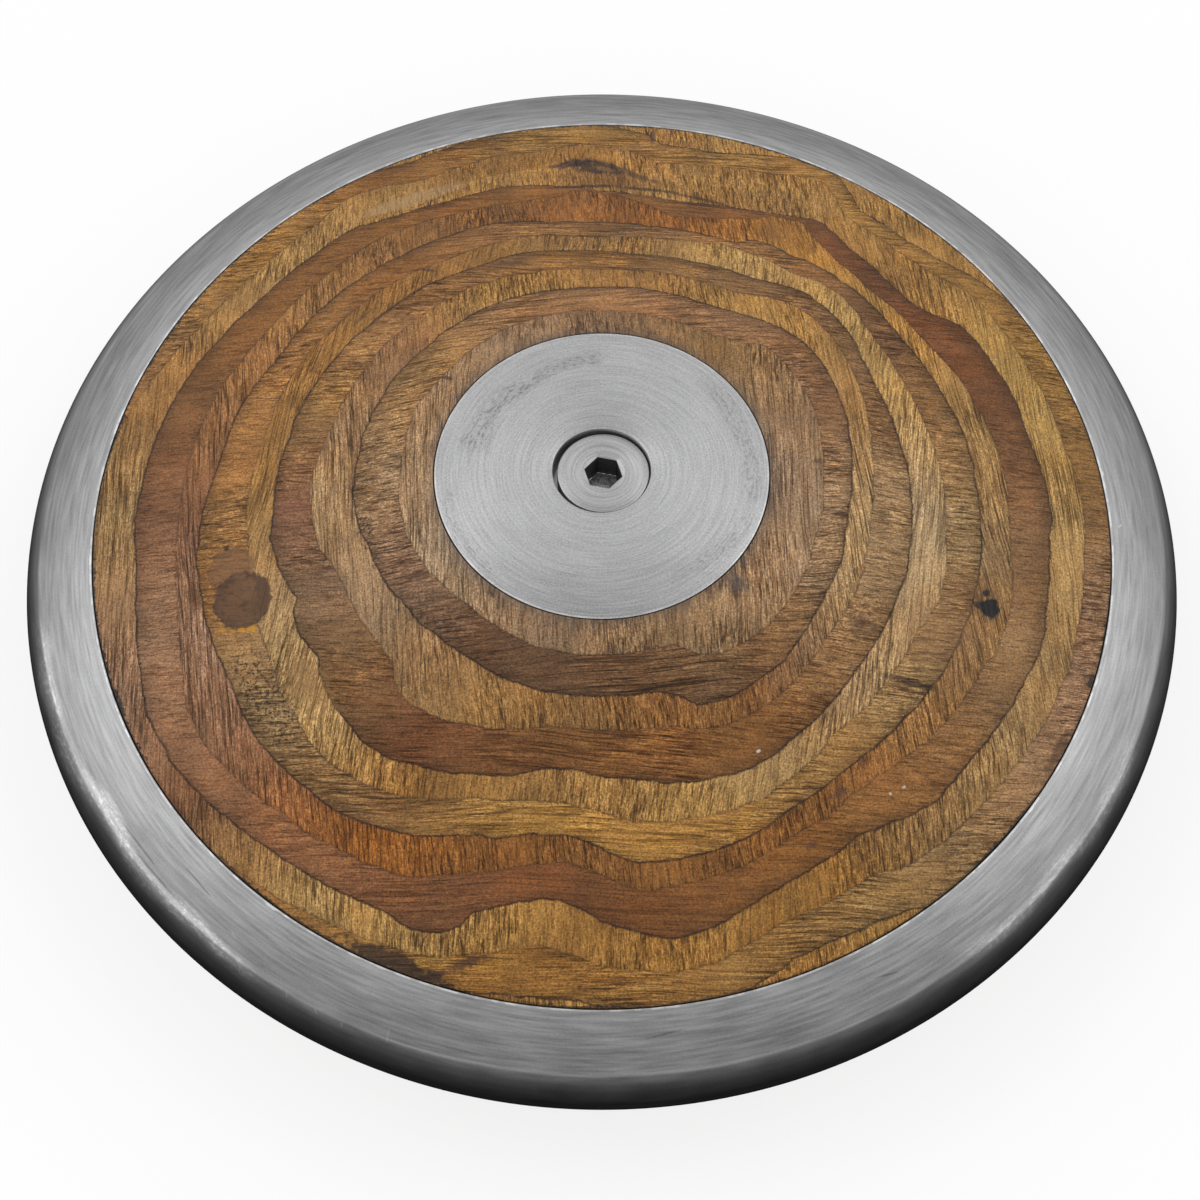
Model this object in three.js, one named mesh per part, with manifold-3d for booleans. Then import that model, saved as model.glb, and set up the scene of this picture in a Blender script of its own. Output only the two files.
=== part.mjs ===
// A one kilogram discus. A turned steel rim is trapped between two laminated wooden sides,
// and a screw and a sleeve nut draw two steel centre plates together through the middle.
// Millimetres, +Z up. The origin is the middle of the disc, on its mid-plane.
import * as THREE from "three";
import { mergeVertices } from "three/addons/utils/BufferGeometryUtils.js";
import Module from "manifold-3d";

const wasm = await Module();
wasm.setup();

// Whole disc
const discDiameter = 181;
const discThickness = 38.5;
const edgeGaugeInset = 6; // how far in from the edge the rim's thickness is measured
const edgeGaugeThickness = 12.6;

// Rim
const rimWidth = 11.8; // from the edge to the wood
const creaseInset = 3.2; // from the edge to the line where the cone turns into the round edge
const tongueDepth = 4; // how far the inner tongue reaches in under the wood
const tongueThickness = 2;

// Centre plates
const plateDiameter = 50.4;
const plateThickness = 2.5;
const hubDiameter = 24;
const hubHeight = 4; // how far the hub reaches below the plate
const counterboreDiameter = 14.8;

// Centre screw and sleeve nut
const headDiameter = 13.9;
const headHeight = 3.6;
const headRecess = 0.8; // how far the head lies below the plate's face
const headChamfer = 0.2;
const screwShift = 0.25; // the screw stands this far off centre, within its clearance
const screwDiameter = 8;
const screwLength = 16;
const plainShankLength = 3.5;
const threadPitch = 1.25;
const threadDepth = 0.75;
const crestDrop = 0.1; // how far the thread's crests lie inside the plain shank
const tipChamfer = 0.8;
const socketAcrossFlats = 5;
const socketDepth = 4.4;
const socketTurn = THREE.MathUtils.degToRad(-12.8);
const barrelDiameter = 10.5;
const barrelChamfer = 0.4;
const mouthRunOn = 0.4; // how far the plain mouth of the bore runs on below the shank
const threadRunOut = 2; // how far the threaded bore runs on past the screw's tip

// Trim washers
const washerDiameter = 24;
const washerThickness = 0.8;
const washerCount = 3; // in each side

// Dowels
const dowelDiameter = 6;
const dowelLength = 12;
const dowelChamfer = 0.6;
const dowelInset = 18.7; // from the wood's edge in to the middle of a dowel
const dowelCount = 8;

// Clearances
const rimSeam = 0.15; // wood to the rim's inner wall
const tongueSeam = 0.3; // wood to the tip of the tongue
const plateSeam = 0.15; // plate to the wall of its seat
const chamberSeam = 0.3; // hub and washers to the wall of the core chamber
const shankClearance = 0.15; // round the shifted screw and barrel
const threadClearance = 0.12;
const barrelEndGap = 0.3; // between the barrel's end and the upper hub
const dowelSeam = 0.1;
const dowelEndGap = 0.3;

// How finely round shapes are divided
const discSteps = 72;
const edgeSteps = 5;
const screwSteps = 40;
const threadSteps = 16;
const washerSteps = 24;
const dowelSteps = 12;
const hexagonSides = 6;
const spareTurns = 2; // turns of thread beyond each end, before it is cut to length

const weldDistance = 1e-4; // points nearer than this are one point
const cutOverrun = 1; // how far a cutting tool runs on into the open

// Places that follow from the sizes
const discRadius = discDiameter / 2;
const halfThickness = discThickness / 2;
const plateRadius = plateDiameter / 2;
const edgeGaugeRadius = discRadius - edgeGaugeInset;
const coneFall = (halfThickness - edgeGaugeThickness / 2) / (edgeGaugeRadius - plateRadius);
const woodRadius = discRadius - rimWidth;
const rimInnerRadius = woodRadius + rimSeam;
const dowelCircleRadius = woodRadius - dowelInset;
const tongueTipRadius = rimInnerRadius - tongueDepth;
const plateSeatHeight = halfThickness - plateThickness;
const hubRadius = hubDiameter / 2;
const hubFootHeight = plateSeatHeight - hubHeight;
const chamberRadius = Math.max(hubRadius, washerDiameter / 2) + chamberSeam;
const chamberFloorHeight = hubFootHeight - washerCount * washerThickness;
const headTopHeight = halfThickness - headRecess;
const headSeatHeight = headTopHeight - headHeight;
const shankEndHeight = headSeatHeight - plainShankLength;
const screwTipHeight = headSeatHeight - screwLength;
const screwHoleRadius = screwDiameter / 2 + screwShift + shankClearance;
const barrelHoleRadius = barrelDiameter / 2 + screwShift + shankClearance;
const barrelEndHeight = hubFootHeight - barrelEndGap;
const threadMajorRadius = screwDiameter / 2 - crestDrop;
const threadMinorRadius = threadMajorRadius - threadDepth;

// Where each turn of the thread has its crest and root, as shares of the pitch
const threadTurn = [
  { pitchShare: 0, radius: threadMajorRadius },
  { pitchShare: 0.125, radius: threadMajorRadius },
  { pitchShare: 0.4375, radius: threadMinorRadius },
  { pitchShare: 0.6875, radius: threadMinorRadius },
];

const steel = { color: 0xb4b6b8, roughness: 0.42, metalness: 0.9 };
const darkSteel = { color: 0x8f9296, roughness: 0.5, metalness: 0.9 };
const laminate = { color: 0x9b6a3b, roughness: 0.65, metalness: 0 };
const beech = { color: 0xcaa57a, roughness: 0.75, metalness: 0 };

// Height of the coned face over the mid-plane, at a radius.
function coneHeight(radius) {
  return halfThickness - coneFall * (radius - plateRadius);
}

// A solid of revolution about Z. The outline lists [radius, height] anticlockwise.
// A ring's outline closes on itself, and another's starts and ends on the axis.
function revolve(outline, steps) {
  const onAxis = outline[0][0] === 0;
  const closed = onAxis ? outline : [...outline, outline[0]];
  const points = closed.map(([radius, height]) => new THREE.Vector2(radius, height));
  const geometry = new THREE.LatheGeometry(points, steps);
  geometry.rotateX(Math.PI / 2);
  return geometry;
}

// The solid inside a closed surface, for joining and cutting.
function solidOf(geometry) {
  const bare = geometry.clone();
  bare.deleteAttribute("normal");
  bare.deleteAttribute("uv");
  const welded = mergeVertices(bare, weldDistance);
  const mesh = new wasm.Mesh({
    numProp: 3,
    vertProperties: welded.attributes.position.array,
    triVerts: Uint32Array.from(welded.index.array),
  });
  return new wasm.Manifold(mesh);
}

// The surface of a solid.
function surfaceOf(solid) {
  const mesh = solid.getMesh();
  const geometry = new THREE.BufferGeometry();
  geometry.setAttribute("position", new THREE.BufferAttribute(mesh.vertProperties, mesh.numProp));
  geometry.setIndex(new THREE.BufferAttribute(mesh.triVerts, 1));
  geometry.computeVertexNormals();
  return geometry;
}

function named(name, geometry, finish) {
  const mesh = new THREE.Mesh(geometry, new THREE.MeshStandardMaterial(finish));
  mesh.name = name;
  return mesh;
}

// Points of the round edge, from the lower crease out over the equator to the upper crease.
// The arc stands upright at the equator, so the crease sets its radius.
function roundEdge() {
  const creaseHeight = coneHeight(discRadius - creaseInset);
  const arcRadius = (creaseInset ** 2 + creaseHeight ** 2) / (2 * creaseInset);
  const reach = Math.asin(creaseHeight / arcRadius);
  const points = [];
  for (let step = -edgeSteps; step <= edgeSteps; step++) {
    const angle = (reach * step) / edgeSteps;
    const radius = discRadius - arcRadius * (1 - Math.cos(angle));
    points.push([radius, arcRadius * Math.sin(angle)]);
  }
  return points;
}

// The steel ring, with the tongue that both sides close over.
function rim() {
  const wallHeight = coneHeight(rimInnerRadius);
  const tongue = tongueThickness / 2;
  const outline = [
    [tongueTipRadius, -tongue],
    [rimInnerRadius, -tongue],
    [rimInnerRadius, -wallHeight],
    ...roundEdge(),
    [rimInnerRadius, wallHeight],
    [rimInnerRadius, tongue],
    [tongueTipRadius, tongue],
  ];
  return named("rim", revolve(outline, discSteps), steel);
}

// Angles of the dowels, even on both sides of the X axis, so that a side can be turned over.
function dowelPlaces() {
  const places = [];
  for (let index = 0; index < dowelCount; index++) {
    const angle = (2 * Math.PI * (index + 1 / 2)) / dowelCount;
    places.push(new THREE.Vector3(Math.cos(angle), Math.sin(angle), 0));
  }
  return places.map((place) => place.multiplyScalar(dowelCircleRadius));
}

// One wooden side, as the upper one: seat for the plate, chamber for the washers, bore for the
// barrel, rebate for the rim's tongue and blind holes for the dowels.
function woodSide() {
  const seatRadius = plateRadius + plateSeam;
  const rebateRadius = tongueTipRadius - tongueSeam;
  const rebateHeight = tongueThickness / 2;
  const outline = [
    [barrelHoleRadius, 0],
    [rebateRadius, 0],
    [rebateRadius, rebateHeight],
    [woodRadius, rebateHeight],
    [woodRadius, coneHeight(woodRadius)],
    [seatRadius, coneHeight(seatRadius)],
    [seatRadius, plateSeatHeight],
    [chamberRadius, plateSeatHeight],
    [chamberRadius, chamberFloorHeight],
    [barrelHoleRadius, chamberFloorHeight],
  ];
  let side = solidOf(revolve(outline, discSteps));
  for (const place of dowelPlaces()) {
    side = side.subtract(solidOf(dowelHole().translate(place.x, place.y, 0)));
  }
  return surfaceOf(side);
}

function dowelHole() {
  const radius = dowelDiameter / 2 + dowelSeam;
  const depth = dowelLength / 2 + dowelEndGap;
  const outline = [
    [0, -cutOverrun],
    [radius, -cutOverrun],
    [radius, depth],
    [0, depth],
  ];
  return revolve(outline, dowelSteps);
}

function sides() {
  const upper = named("upper_side", woodSide(), laminate);
  const lower = named("lower_side", woodSide(), laminate);
  lower.rotation.x = Math.PI;
  return [upper, lower];
}

function dowels() {
  const radius = dowelDiameter / 2;
  const end = dowelLength / 2;
  const outline = [
    [0, -end],
    [radius - dowelChamfer, -end],
    [radius, dowelChamfer - end],
    [radius, end - dowelChamfer],
    [radius - dowelChamfer, end],
    [0, end],
  ];
  return dowelPlaces().map((place, index) => {
    const dowel = named("dowel_" + (index + 1), revolve(outline, dowelSteps), beech);
    dowel.position.copy(place);
    return dowel;
  });
}

// One turned centre plate, as the upper one, with the hole for the screw or for the barrel.
function plate(name, holeRadius) {
  const counterboreRadius = counterboreDiameter / 2;
  const outline = [
    [holeRadius, hubFootHeight],
    [hubRadius, hubFootHeight],
    [hubRadius, plateSeatHeight],
    [plateRadius, plateSeatHeight],
    [plateRadius, halfThickness],
    [counterboreRadius, halfThickness],
    [counterboreRadius, headSeatHeight],
    [holeRadius, headSeatHeight],
  ];
  return named(name, revolve(outline, discSteps), steel);
}

function plates() {
  const upper = plate("upper_plate", screwHoleRadius);
  const lower = plate("lower_plate", barrelHoleRadius);
  lower.rotation.x = Math.PI;
  return [upper, lower];
}

// The stack of steel discs between a plate's hub and the floor of the chamber.
function trimWashers() {
  const washers = [];
  for (const [sideName, up] of Object.entries({ upper: 1, lower: -1 })) {
    for (let index = 0; index < washerCount; index++) {
      const inner = up * (chamberFloorHeight + index * washerThickness);
      const outer = up * (chamberFloorHeight + (index + 1) * washerThickness);
      const bottom = Math.min(inner, outer);
      const top = Math.max(inner, outer);
      const outline = [
        [barrelHoleRadius, bottom],
        [washerDiameter / 2, bottom],
        [washerDiameter / 2, top],
        [barrelHoleRadius, top],
      ];
      const name = sideName + "_trim_washer_" + (index + 1);
      washers.push(named(name, revolve(outline, washerSteps), darkSteel));
    }
  }
  return washers;
}

// One point of the thread's helical surface. Four rows make a turn, and a whole turn of steps
// leads from a row to the same place one pitch up.
function threadPoint(row, step, firstTurn, growth) {
  const { pitchShare, radius } = threadTurn[row % threadTurn.length];
  const turn = firstTurn + Math.floor(row / threadTurn.length) + pitchShare;
  const angle = (2 * Math.PI * (step % threadSteps)) / threadSteps;
  const height = threadPitch * (turn + step / threadSteps);
  const reach = radius + growth;
  return new THREE.Vector3(reach * Math.cos(angle), reach * Math.sin(angle), height);
}

// The open ends of the helical surface each step up one pitch where the turn closes.
function threadEnd(row, point) {
  const loop = [];
  for (let step = 0; step <= threadSteps; step++) loop.push(point(row, step));
  for (let down = threadTurn.length - 1; down > 0; down--) loop.push(point(row + down, 0));
  return loop;
}

// A right-handed threaded rod between two heights, grown all round by the clearance of a tap.
function threadedRod(bottom, top, growth, trim) {
  const firstTurn = Math.floor(bottom / threadPitch) - spareTurns;
  const lastTurn = Math.ceil(top / threadPitch) + spareTurns;
  const rows = (lastTurn - firstTurn) * threadTurn.length;
  const point = (row, step) => threadPoint(row, step, firstTurn, growth);
  const corners = [];
  for (let row = 0; row < rows; row++) {
    for (let step = 0; step < threadSteps; step++) {
      const low = point(row, step);
      const high = point(row + 1, step + 1);
      corners.push(low, point(row, step + 1), high);
      corners.push(low, high, point(row + 1, step));
    }
  }
  const ends = [
    { loop: threadEnd(0, point).reverse(), height: threadPitch * firstTurn },
    { loop: threadEnd(rows, point), height: threadPitch * (lastTurn + 1) },
  ];
  for (const { loop, height } of ends) {
    const centre = new THREE.Vector3(0, 0, height);
    loop.forEach((corner, index) => {
      corners.push(centre, corner, loop[(index + 1) % loop.length]);
    });
  }
  const rod = new THREE.BufferGeometry().setFromPoints(corners);
  return solidOf(rod).intersect(solidOf(revolve(trim, screwSteps)));
}

// The hexagon socket, cut down into a head whose outer face lies at headTopHeight.
function socketTool() {
  const cornerRadius = socketAcrossFlats / Math.sqrt(3);
  const outline = [
    [0, headTopHeight - socketDepth],
    [cornerRadius, headTopHeight - socketDepth],
    [cornerRadius, headTopHeight + cutOverrun],
    [0, headTopHeight + cutOverrun],
  ];
  return solidOf(revolve(outline, hexagonSides).rotateZ(Math.PI / 2 + socketTurn));
}

// The screw: turned head and plain shank, with the thread below.
function centreScrew() {
  const headRadius = headDiameter / 2;
  const shankRadius = screwDiameter / 2;
  const coreRadius = threadMinorRadius - crestDrop;
  const coreEndHeight = screwTipHeight + tipChamfer;
  const blank = [
    [0, coreEndHeight],
    [coreRadius, coreEndHeight],
    [coreRadius, shankEndHeight],
    [shankRadius, shankEndHeight],
    [shankRadius, headSeatHeight],
    [headRadius, headSeatHeight],
    [headRadius, headTopHeight - headChamfer],
    [headRadius - headChamfer, headTopHeight],
    [0, headTopHeight],
  ];
  const trimTop = (shankEndHeight + headSeatHeight) / 2;
  const trim = [
    [0, screwTipHeight],
    [shankRadius - tipChamfer, screwTipHeight],
    [shankRadius, screwTipHeight + tipChamfer],
    [shankRadius, trimTop],
    [0, trimTop],
  ];
  const thread = threadedRod(screwTipHeight, trimTop, 0, trim);
  const screw = solidOf(revolve(blank, screwSteps)).add(thread).subtract(socketTool());
  return named("centre_screw", surfaceOf(screw), steel);
}

// The threaded bore that the screw runs in, with its plain mouth, as one cutting tool.
function tappedBore() {
  const threadEndHeight = screwTipHeight - threadRunOut;
  const mouthRadius = screwDiameter / 2 + shankClearance;
  const drillRadius = threadMinorRadius;
  const drillPointHeight = threadEndHeight - drillRadius;
  const mouthHeight = shankEndHeight - mouthRunOn;
  const toolTop = Math.max(barrelEndHeight, mouthHeight) + cutOverrun;
  const drill = [
    [0, drillPointHeight],
    [drillRadius, threadEndHeight],
    [drillRadius, mouthHeight],
    [mouthRadius, mouthHeight],
    [mouthRadius, toolTop],
    [0, toolTop],
  ];
  const trim = [
    [0, threadEndHeight],
    [screwDiameter / 2 + cutOverrun, threadEndHeight],
    [screwDiameter / 2 + cutOverrun, toolTop],
    [0, toolTop],
  ];
  const thread = threadedRod(threadEndHeight, toolTop, threadClearance, trim);
  return solidOf(revolve(drill, screwSteps)).add(thread);
}

// The sleeve nut: the same head, facing down, on a barrel that reaches up through the wood.
function sleeveNut() {
  const headRadius = headDiameter / 2;
  const barrelRadius = barrelDiameter / 2;
  const blank = [
    [0, -headTopHeight],
    [headRadius - headChamfer, -headTopHeight],
    [headRadius, headChamfer - headTopHeight],
    [headRadius, -headSeatHeight],
    [barrelRadius, -headSeatHeight],
    [barrelRadius, barrelEndHeight - barrelChamfer],
    [barrelRadius - barrelChamfer, barrelEndHeight],
    [0, barrelEndHeight],
  ];
  const socket = solidOf(surfaceOf(socketTool()).rotateX(Math.PI));
  const nut = solidOf(revolve(blank, screwSteps)).subtract(tappedBore()).subtract(socket);
  return named("sleeve_nut", surfaceOf(nut), steel);
}

function fastening() {
  const pieces = new THREE.Group();
  pieces.add(centreScrew(), sleeveNut());
  pieces.position.x = screwShift;
  return pieces;
}

const discus = new THREE.Group();
discus.add(rim(), ...sides(), ...dowels(), ...plates(), ...trimWashers(), fastening());

export default discus;
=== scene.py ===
"""Dresses a one kilogram throwing discus: a turned steel rim, laminated wooden sides, flush steel
centre plates, and the sunk screw and sleeve nut that hold them together. Shapes are drawn in
millimetres in the shared frame, and each finished piece is in metres."""

import logging
import math
from dataclasses import dataclass
from enum import Enum
from functools import cached_property

import bmesh
import bpy
import numpy as np
from mathutils import Matrix, Vector


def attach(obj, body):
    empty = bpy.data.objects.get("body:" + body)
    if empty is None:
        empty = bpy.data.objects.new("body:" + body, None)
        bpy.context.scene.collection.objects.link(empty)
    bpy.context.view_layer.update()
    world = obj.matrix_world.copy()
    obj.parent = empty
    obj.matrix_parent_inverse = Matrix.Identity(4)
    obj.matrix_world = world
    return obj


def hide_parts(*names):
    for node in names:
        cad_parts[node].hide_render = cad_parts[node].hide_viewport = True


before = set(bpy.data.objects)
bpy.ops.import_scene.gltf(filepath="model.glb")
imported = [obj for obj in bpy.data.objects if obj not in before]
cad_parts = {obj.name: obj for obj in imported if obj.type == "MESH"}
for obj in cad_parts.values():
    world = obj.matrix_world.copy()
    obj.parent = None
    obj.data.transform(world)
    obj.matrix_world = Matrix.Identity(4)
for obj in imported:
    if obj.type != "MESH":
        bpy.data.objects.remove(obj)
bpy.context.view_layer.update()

LOG = logging.getLogger("discus")
MILLIMETRE = 0.001
FULL_TURN = 2 * math.pi
RIGHT_ANGLE = math.pi / 2
AXIS = (0.0, 0.0, 1.0)
CENTRE = (0.0, 0.0, 0.0)
WELD = 0.0005  # millimetres: points nearer than this are one point
SHARP_EDGE = math.radians(38)
SHARE_START, SHARE_END = 25.1, 78.7  # the radii between which shares, in hundredths, are counted
SHARE_STEP = (SHARE_END - SHARE_START) / 100

Point = tuple[float, float, float]
Colour = tuple[float, float, float]
Table = tuple[tuple[float, float], ...]  # pairs of a place and a value there


def shade(red: int, green: int, blue: int) -> Colour:
    """Turns a screen colour into the linear one that shaders work in.

    Args:
        red, green, blue: the colour's parts, from 0 to 255.

    Returns:
        The same colour, linear, with parts from 0 to 1.
    """
    parts = (part / 255 for part in (red, green, blue))
    return tuple(p / 12.92 if p <= 0.04045 else ((p + 0.055) / 1.055) ** 2.4 for p in parts)


def share_radius(share: float) -> float:
    """Gives the radius at a share, in hundredths, of the wood's width from plate to rim."""
    return SHARE_START + share * SHARE_STEP


# ---- Node work -------------------------------------------------------------------------------


class Signal:
    """A number, colour or vector that a node gives out, for use in expressions."""

    def __init__(self, work: "NodeWork", socket: bpy.types.NodeSocket) -> None:
        """Wraps an output socket of a node in the given tree."""
        self.work = work
        self.socket = socket

    def __add__(self, other: "Signal | float") -> "Signal":
        """Gives the sum."""
        return self.work.maths("ADD", self, other)

    def __sub__(self, other: "Signal | float") -> "Signal":
        """Gives the difference."""
        return self.work.maths("SUBTRACT", self, other)

    def __rsub__(self, other: "Signal | float") -> "Signal":
        """Gives the difference from a number."""
        return self.work.maths("SUBTRACT", other, self)

    def __mul__(self, other: "Signal | float") -> "Signal":
        """Gives the product."""
        return self.work.maths("MULTIPLY", self, other)

    def __truediv__(self, other: "Signal | float") -> "Signal":
        """Gives the quotient."""
        return self.work.maths("DIVIDE", self, other)

    def __mod__(self, other: "Signal | float") -> "Signal":
        """Gives the remainder."""
        return self.work.maths("MODULO", self, other)

    def __abs__(self) -> "Signal":
        """Gives the size without its sign."""
        return self.work.maths("ABSOLUTE", self)

    __radd__ = __add__
    __rmul__ = __mul__


class NodeWork:
    """Builds one node tree, for a material or for the world."""

    def __init__(self, tree: bpy.types.NodeTree, centre: float = 0.0) -> None:
        """Starts from an empty tree.

        Args:
            tree: the tree.
            centre: how far its pattern's axis stands off the piece's, along X, in millimetres.
        """
        self.tree = tree
        self.centre = (centre, 0.0, 0.0)
        tree.nodes.clear()

    def node(
        self,
        kind: str,
        settings: dict | None = None,
        inputs: dict | None = None,
        output: int | str = 0,
    ) -> Signal:
        """Adds a node.

        Args:
            kind: the node's type.
            settings: its settings, set before its sockets; "stops" are a colour ramp's.
            inputs: the values or signals of its sockets, by name or number.
            output: the name or number of the socket that is wanted.

        Returns:
            The signal that the node gives out there.
        """
        made = self.tree.nodes.new(kind)
        for name, value in (settings or {}).items():
            if name == "stops":
                self._set_stops(made.color_ramp, value)
            else:
                setattr(made, name, value)
        for name, value in (inputs or {}).items():
            if isinstance(value, Signal):
                self.tree.links.new(value.socket, made.inputs[name])
            else:
                made.inputs[name].default_value = value
        return Signal(self, made.outputs[output] if made.outputs else None)

    @staticmethod
    def _set_stops(ramp: bpy.types.ColorRamp, stops: tuple) -> None:
        """Gives a colour ramp its stops.

        Args:
            ramp: the ramp.
            stops: pairs of a place and a grey or a colour.
        """
        while len(ramp.elements) < len(stops):
            ramp.elements.new(1.0)
        for element, (place, value) in zip(ramp.elements, stops):
            colour = value if isinstance(value, tuple) else (value,) * 3
            element.position = place
            element.color = (*colour, 1.0)

    def maths(self, operation: str, *terms: Signal | float) -> Signal:
        """Adds a Math node that works on the given terms."""
        return self.node("ShaderNodeMath", {"operation": operation}, dict(enumerate(terms)))

    def vector(self, operation: str, *terms: "Signal | Point", output: str = "Vector") -> Signal:
        """Adds a Vector Math node that works on the given vectors."""
        settings = {"operation": operation}
        return self.node("ShaderNodeVectorMath", settings, dict(enumerate(terms)), output)

    def scaled(self, vector: Signal, factor: Signal | float) -> Signal:
        """Gives a vector or a colour times a number."""
        inputs = {"Vector": vector, "Scale": factor}
        return self.node("ShaderNodeVectorMath", {"operation": "SCALE"}, inputs)

    def combined(self, x: Signal | float, y: Signal | float, z: Signal | float) -> Signal:
        """Gives the vector with these parts."""
        return self.node("ShaderNodeCombineXYZ", inputs={"X": x, "Y": y, "Z": z})

    def part(self, vector: Signal, name: str) -> Signal:
        """Gives the X, Y or Z of a vector."""
        return self.node("ShaderNodeSeparateXYZ", inputs={"Vector": vector}, output=name)

    @cached_property
    def place(self) -> Signal:
        """Gives the place on the piece, in millimetres in the shared frame."""
        place = self.scaled(self.node("ShaderNodeTexCoord", output="Object"), 1 / MILLIMETRE)
        return self.vector("SUBTRACT", place, self.centre)

    @cached_property
    def xyz(self) -> list[Signal]:
        """Gives the X, the Y and the Z of the place."""
        return [self.part(self.place, name) for name in "XYZ"]

    @cached_property
    def radius(self) -> Signal:
        """Gives the place's distance from the axis."""
        flat = self.vector("MULTIPLY", self.place, (1.0, 1.0, 0.0))
        return self.vector("LENGTH", flat, output="Value")

    def noise(self, scale: float, detail: float = 0.0, at: Signal | None = None) -> Signal:
        """Gives soft noise about a half, whose grains are one over the scale wide."""
        inputs = {"Vector": at or self.place, "Scale": scale, "Detail": detail}
        return self.node("ShaderNodeTexNoise", {"noise_dimensions": "3D"}, inputs)

    def patches(
        self, scale: float, detail: float, low: float, high: float, at: Signal | None = None
    ) -> Signal:
        """Gives noise hardened into patches, 0 under the low value and 1 over the high one."""
        return self.step(self.noise(scale, detail, at), low, high)

    def step(self, value: Signal, low: float, high: float) -> Signal:
        """Gives 0 below the low value and 1 above the high one, with a soft step between."""
        inputs = {"Value": value, "From Min": low, "From Max": high}
        return self.node("ShaderNodeMapRange", {"interpolation_type": "SMOOTHSTEP"}, inputs)

    def between(self, factor: Signal, low: Signal | float, high: Signal | float) -> Signal:
        """Gives the low number where the factor is 0 and the high one where it is 1."""
        inputs = {0: factor, 2: low, 3: high}
        return self.node("ShaderNodeMix", {"data_type": "FLOAT"}, inputs)

    def blend(self, factor: Signal, under: Signal | Colour, over: Signal | Colour) -> Signal:
        """Lays one colour over another.

        Args:
            factor: 0 where the lower one shows and 1 where the upper one does.
            under: the lower colour.
            over: the upper colour.

        Returns:
            The colour.
        """
        pair = [c if isinstance(c, Signal) else (*c, 1.0) for c in (under, over)]
        inputs = {0: factor, 6: pair[0], 7: pair[1]}
        return self.node("ShaderNodeMix", {"data_type": "RGBA"}, inputs, 2)

    def stripe(self, value: Signal, inner: float, outer: float, core: float) -> Signal:
        """Gives 1 amid a range of values and 0 outside it; the core is its flat share."""
        middle, half = (inner + outer) / 2, (outer - inner) / 2
        return 1.0 - self.step(abs(value - middle), half * core, half)

    def attribute(self, name: str, output: str = "Fac") -> Signal:
        """Gives a mesh attribute of the piece."""
        settings = {"attribute_type": "GEOMETRY", "attribute_name": name}
        return self.node("ShaderNodeAttribute", settings, output=output)

    def bump(self, height: Signal, depth: float) -> Signal:
        """Gives the normal of a relief that is so many millimetres deep."""
        inputs = {"Strength": 1.0, "Distance": depth * MILLIMETRE, "Height": height}
        return self.node("ShaderNodeBump", inputs=inputs, output="Normal")

    def finish(self, surface: Signal, kind: str = "ShaderNodeOutputMaterial") -> None:
        """Sends the surface to the tree's output."""
        self.node(kind, inputs={"Surface": surface})


def new_material(name: str, centre: float = 0.0) -> tuple[bpy.types.Material, NodeWork]:
    """Makes a material with an empty node tree.

    Args:
        name: what the finish is called.
        centre: how far its pattern's axis stands off the piece's, along X, in millimetres.

    Returns:
        The material, and the node work on its tree.
    """
    material = bpy.data.materials.new(name)
    material.use_nodes = True
    return material, NodeWork(material.node_tree, centre)


# ---- Finishes --------------------------------------------------------------------------------


class Tone(Enum):
    """Colours of the plies, which follow mean colours of the photo, and of their marks."""

    ASH = shade(152, 124, 98)
    FAWN = shade(138, 109, 78)
    TAUPE = shade(130, 102, 82)
    UMBER = shade(106, 78, 54)
    WALNUT = shade(124, 92, 62)
    SAND = shade(161, 129, 93)
    HONEY = shade(170, 136, 89)
    GOLDEN = shade(152, 115, 72)
    OCHRE = shade(143, 107, 63)
    AMBER = shade(136, 97, 52)
    RUSSET = shade(123, 83, 45)
    CHESTNUT = shade(113, 80, 55)
    BRONZE = shade(134, 97, 67)
    COPPER = shade(147, 107, 70)
    PALE = shade(178, 146, 107)
    KNOT = shade(92, 66, 47)
    PLUM = shade(72, 50, 42)
    PITCH = shade(34, 36, 37)
    RESIN = shade(196, 138, 38)
    CHALK = shade(214, 208, 196)
    # a pale, greyed tone, used where the plies carry a painted sheen
    DRIFT = shade(170, 146, 121)
    BUFF = shade(157, 127, 97)
    DUN = shade(142, 115, 90)
    CLAY = shade(131, 102, 76)
    LACQUER = shade(46, 33, 29)
    # white for the painted glints on the rim's nicks
    GLINT_WHITE = shade(226, 226, 226)
    SLATE = shade(88, 80, 76)
    ROSEWOOD = shade(122, 84, 66)
    MAHOGANY = shade(104, 65, 40)
    SIENNA = shade(138, 87, 38)
    TAWNY = shade(166, 125, 68)
    # a greyed, purplish tone, used where the plies carry a painted sheen
    HEATHER = shade(141, 112, 106)
    HAZEL = shade(137, 97, 79)


@dataclass(frozen=True)
class Finish:
    """What every finish shares: a name, and a material with one Principled surface."""

    name: str
    centre: float = 0.0  # how far its pattern's axis stands off the piece's, along X

    def material(self) -> bpy.types.Material:
        """Builds the finish.

        Returns:
            The material.
        """
        made, work = new_material(self.name, self.centre)
        work.finish(work.node("ShaderNodeBsdfPrincipled", inputs=self.sockets(work)))
        return made

    def sockets(self, work: NodeWork) -> dict:
        """Gives what goes into the surface's sockets, by name."""
        raise NotImplementedError


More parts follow.
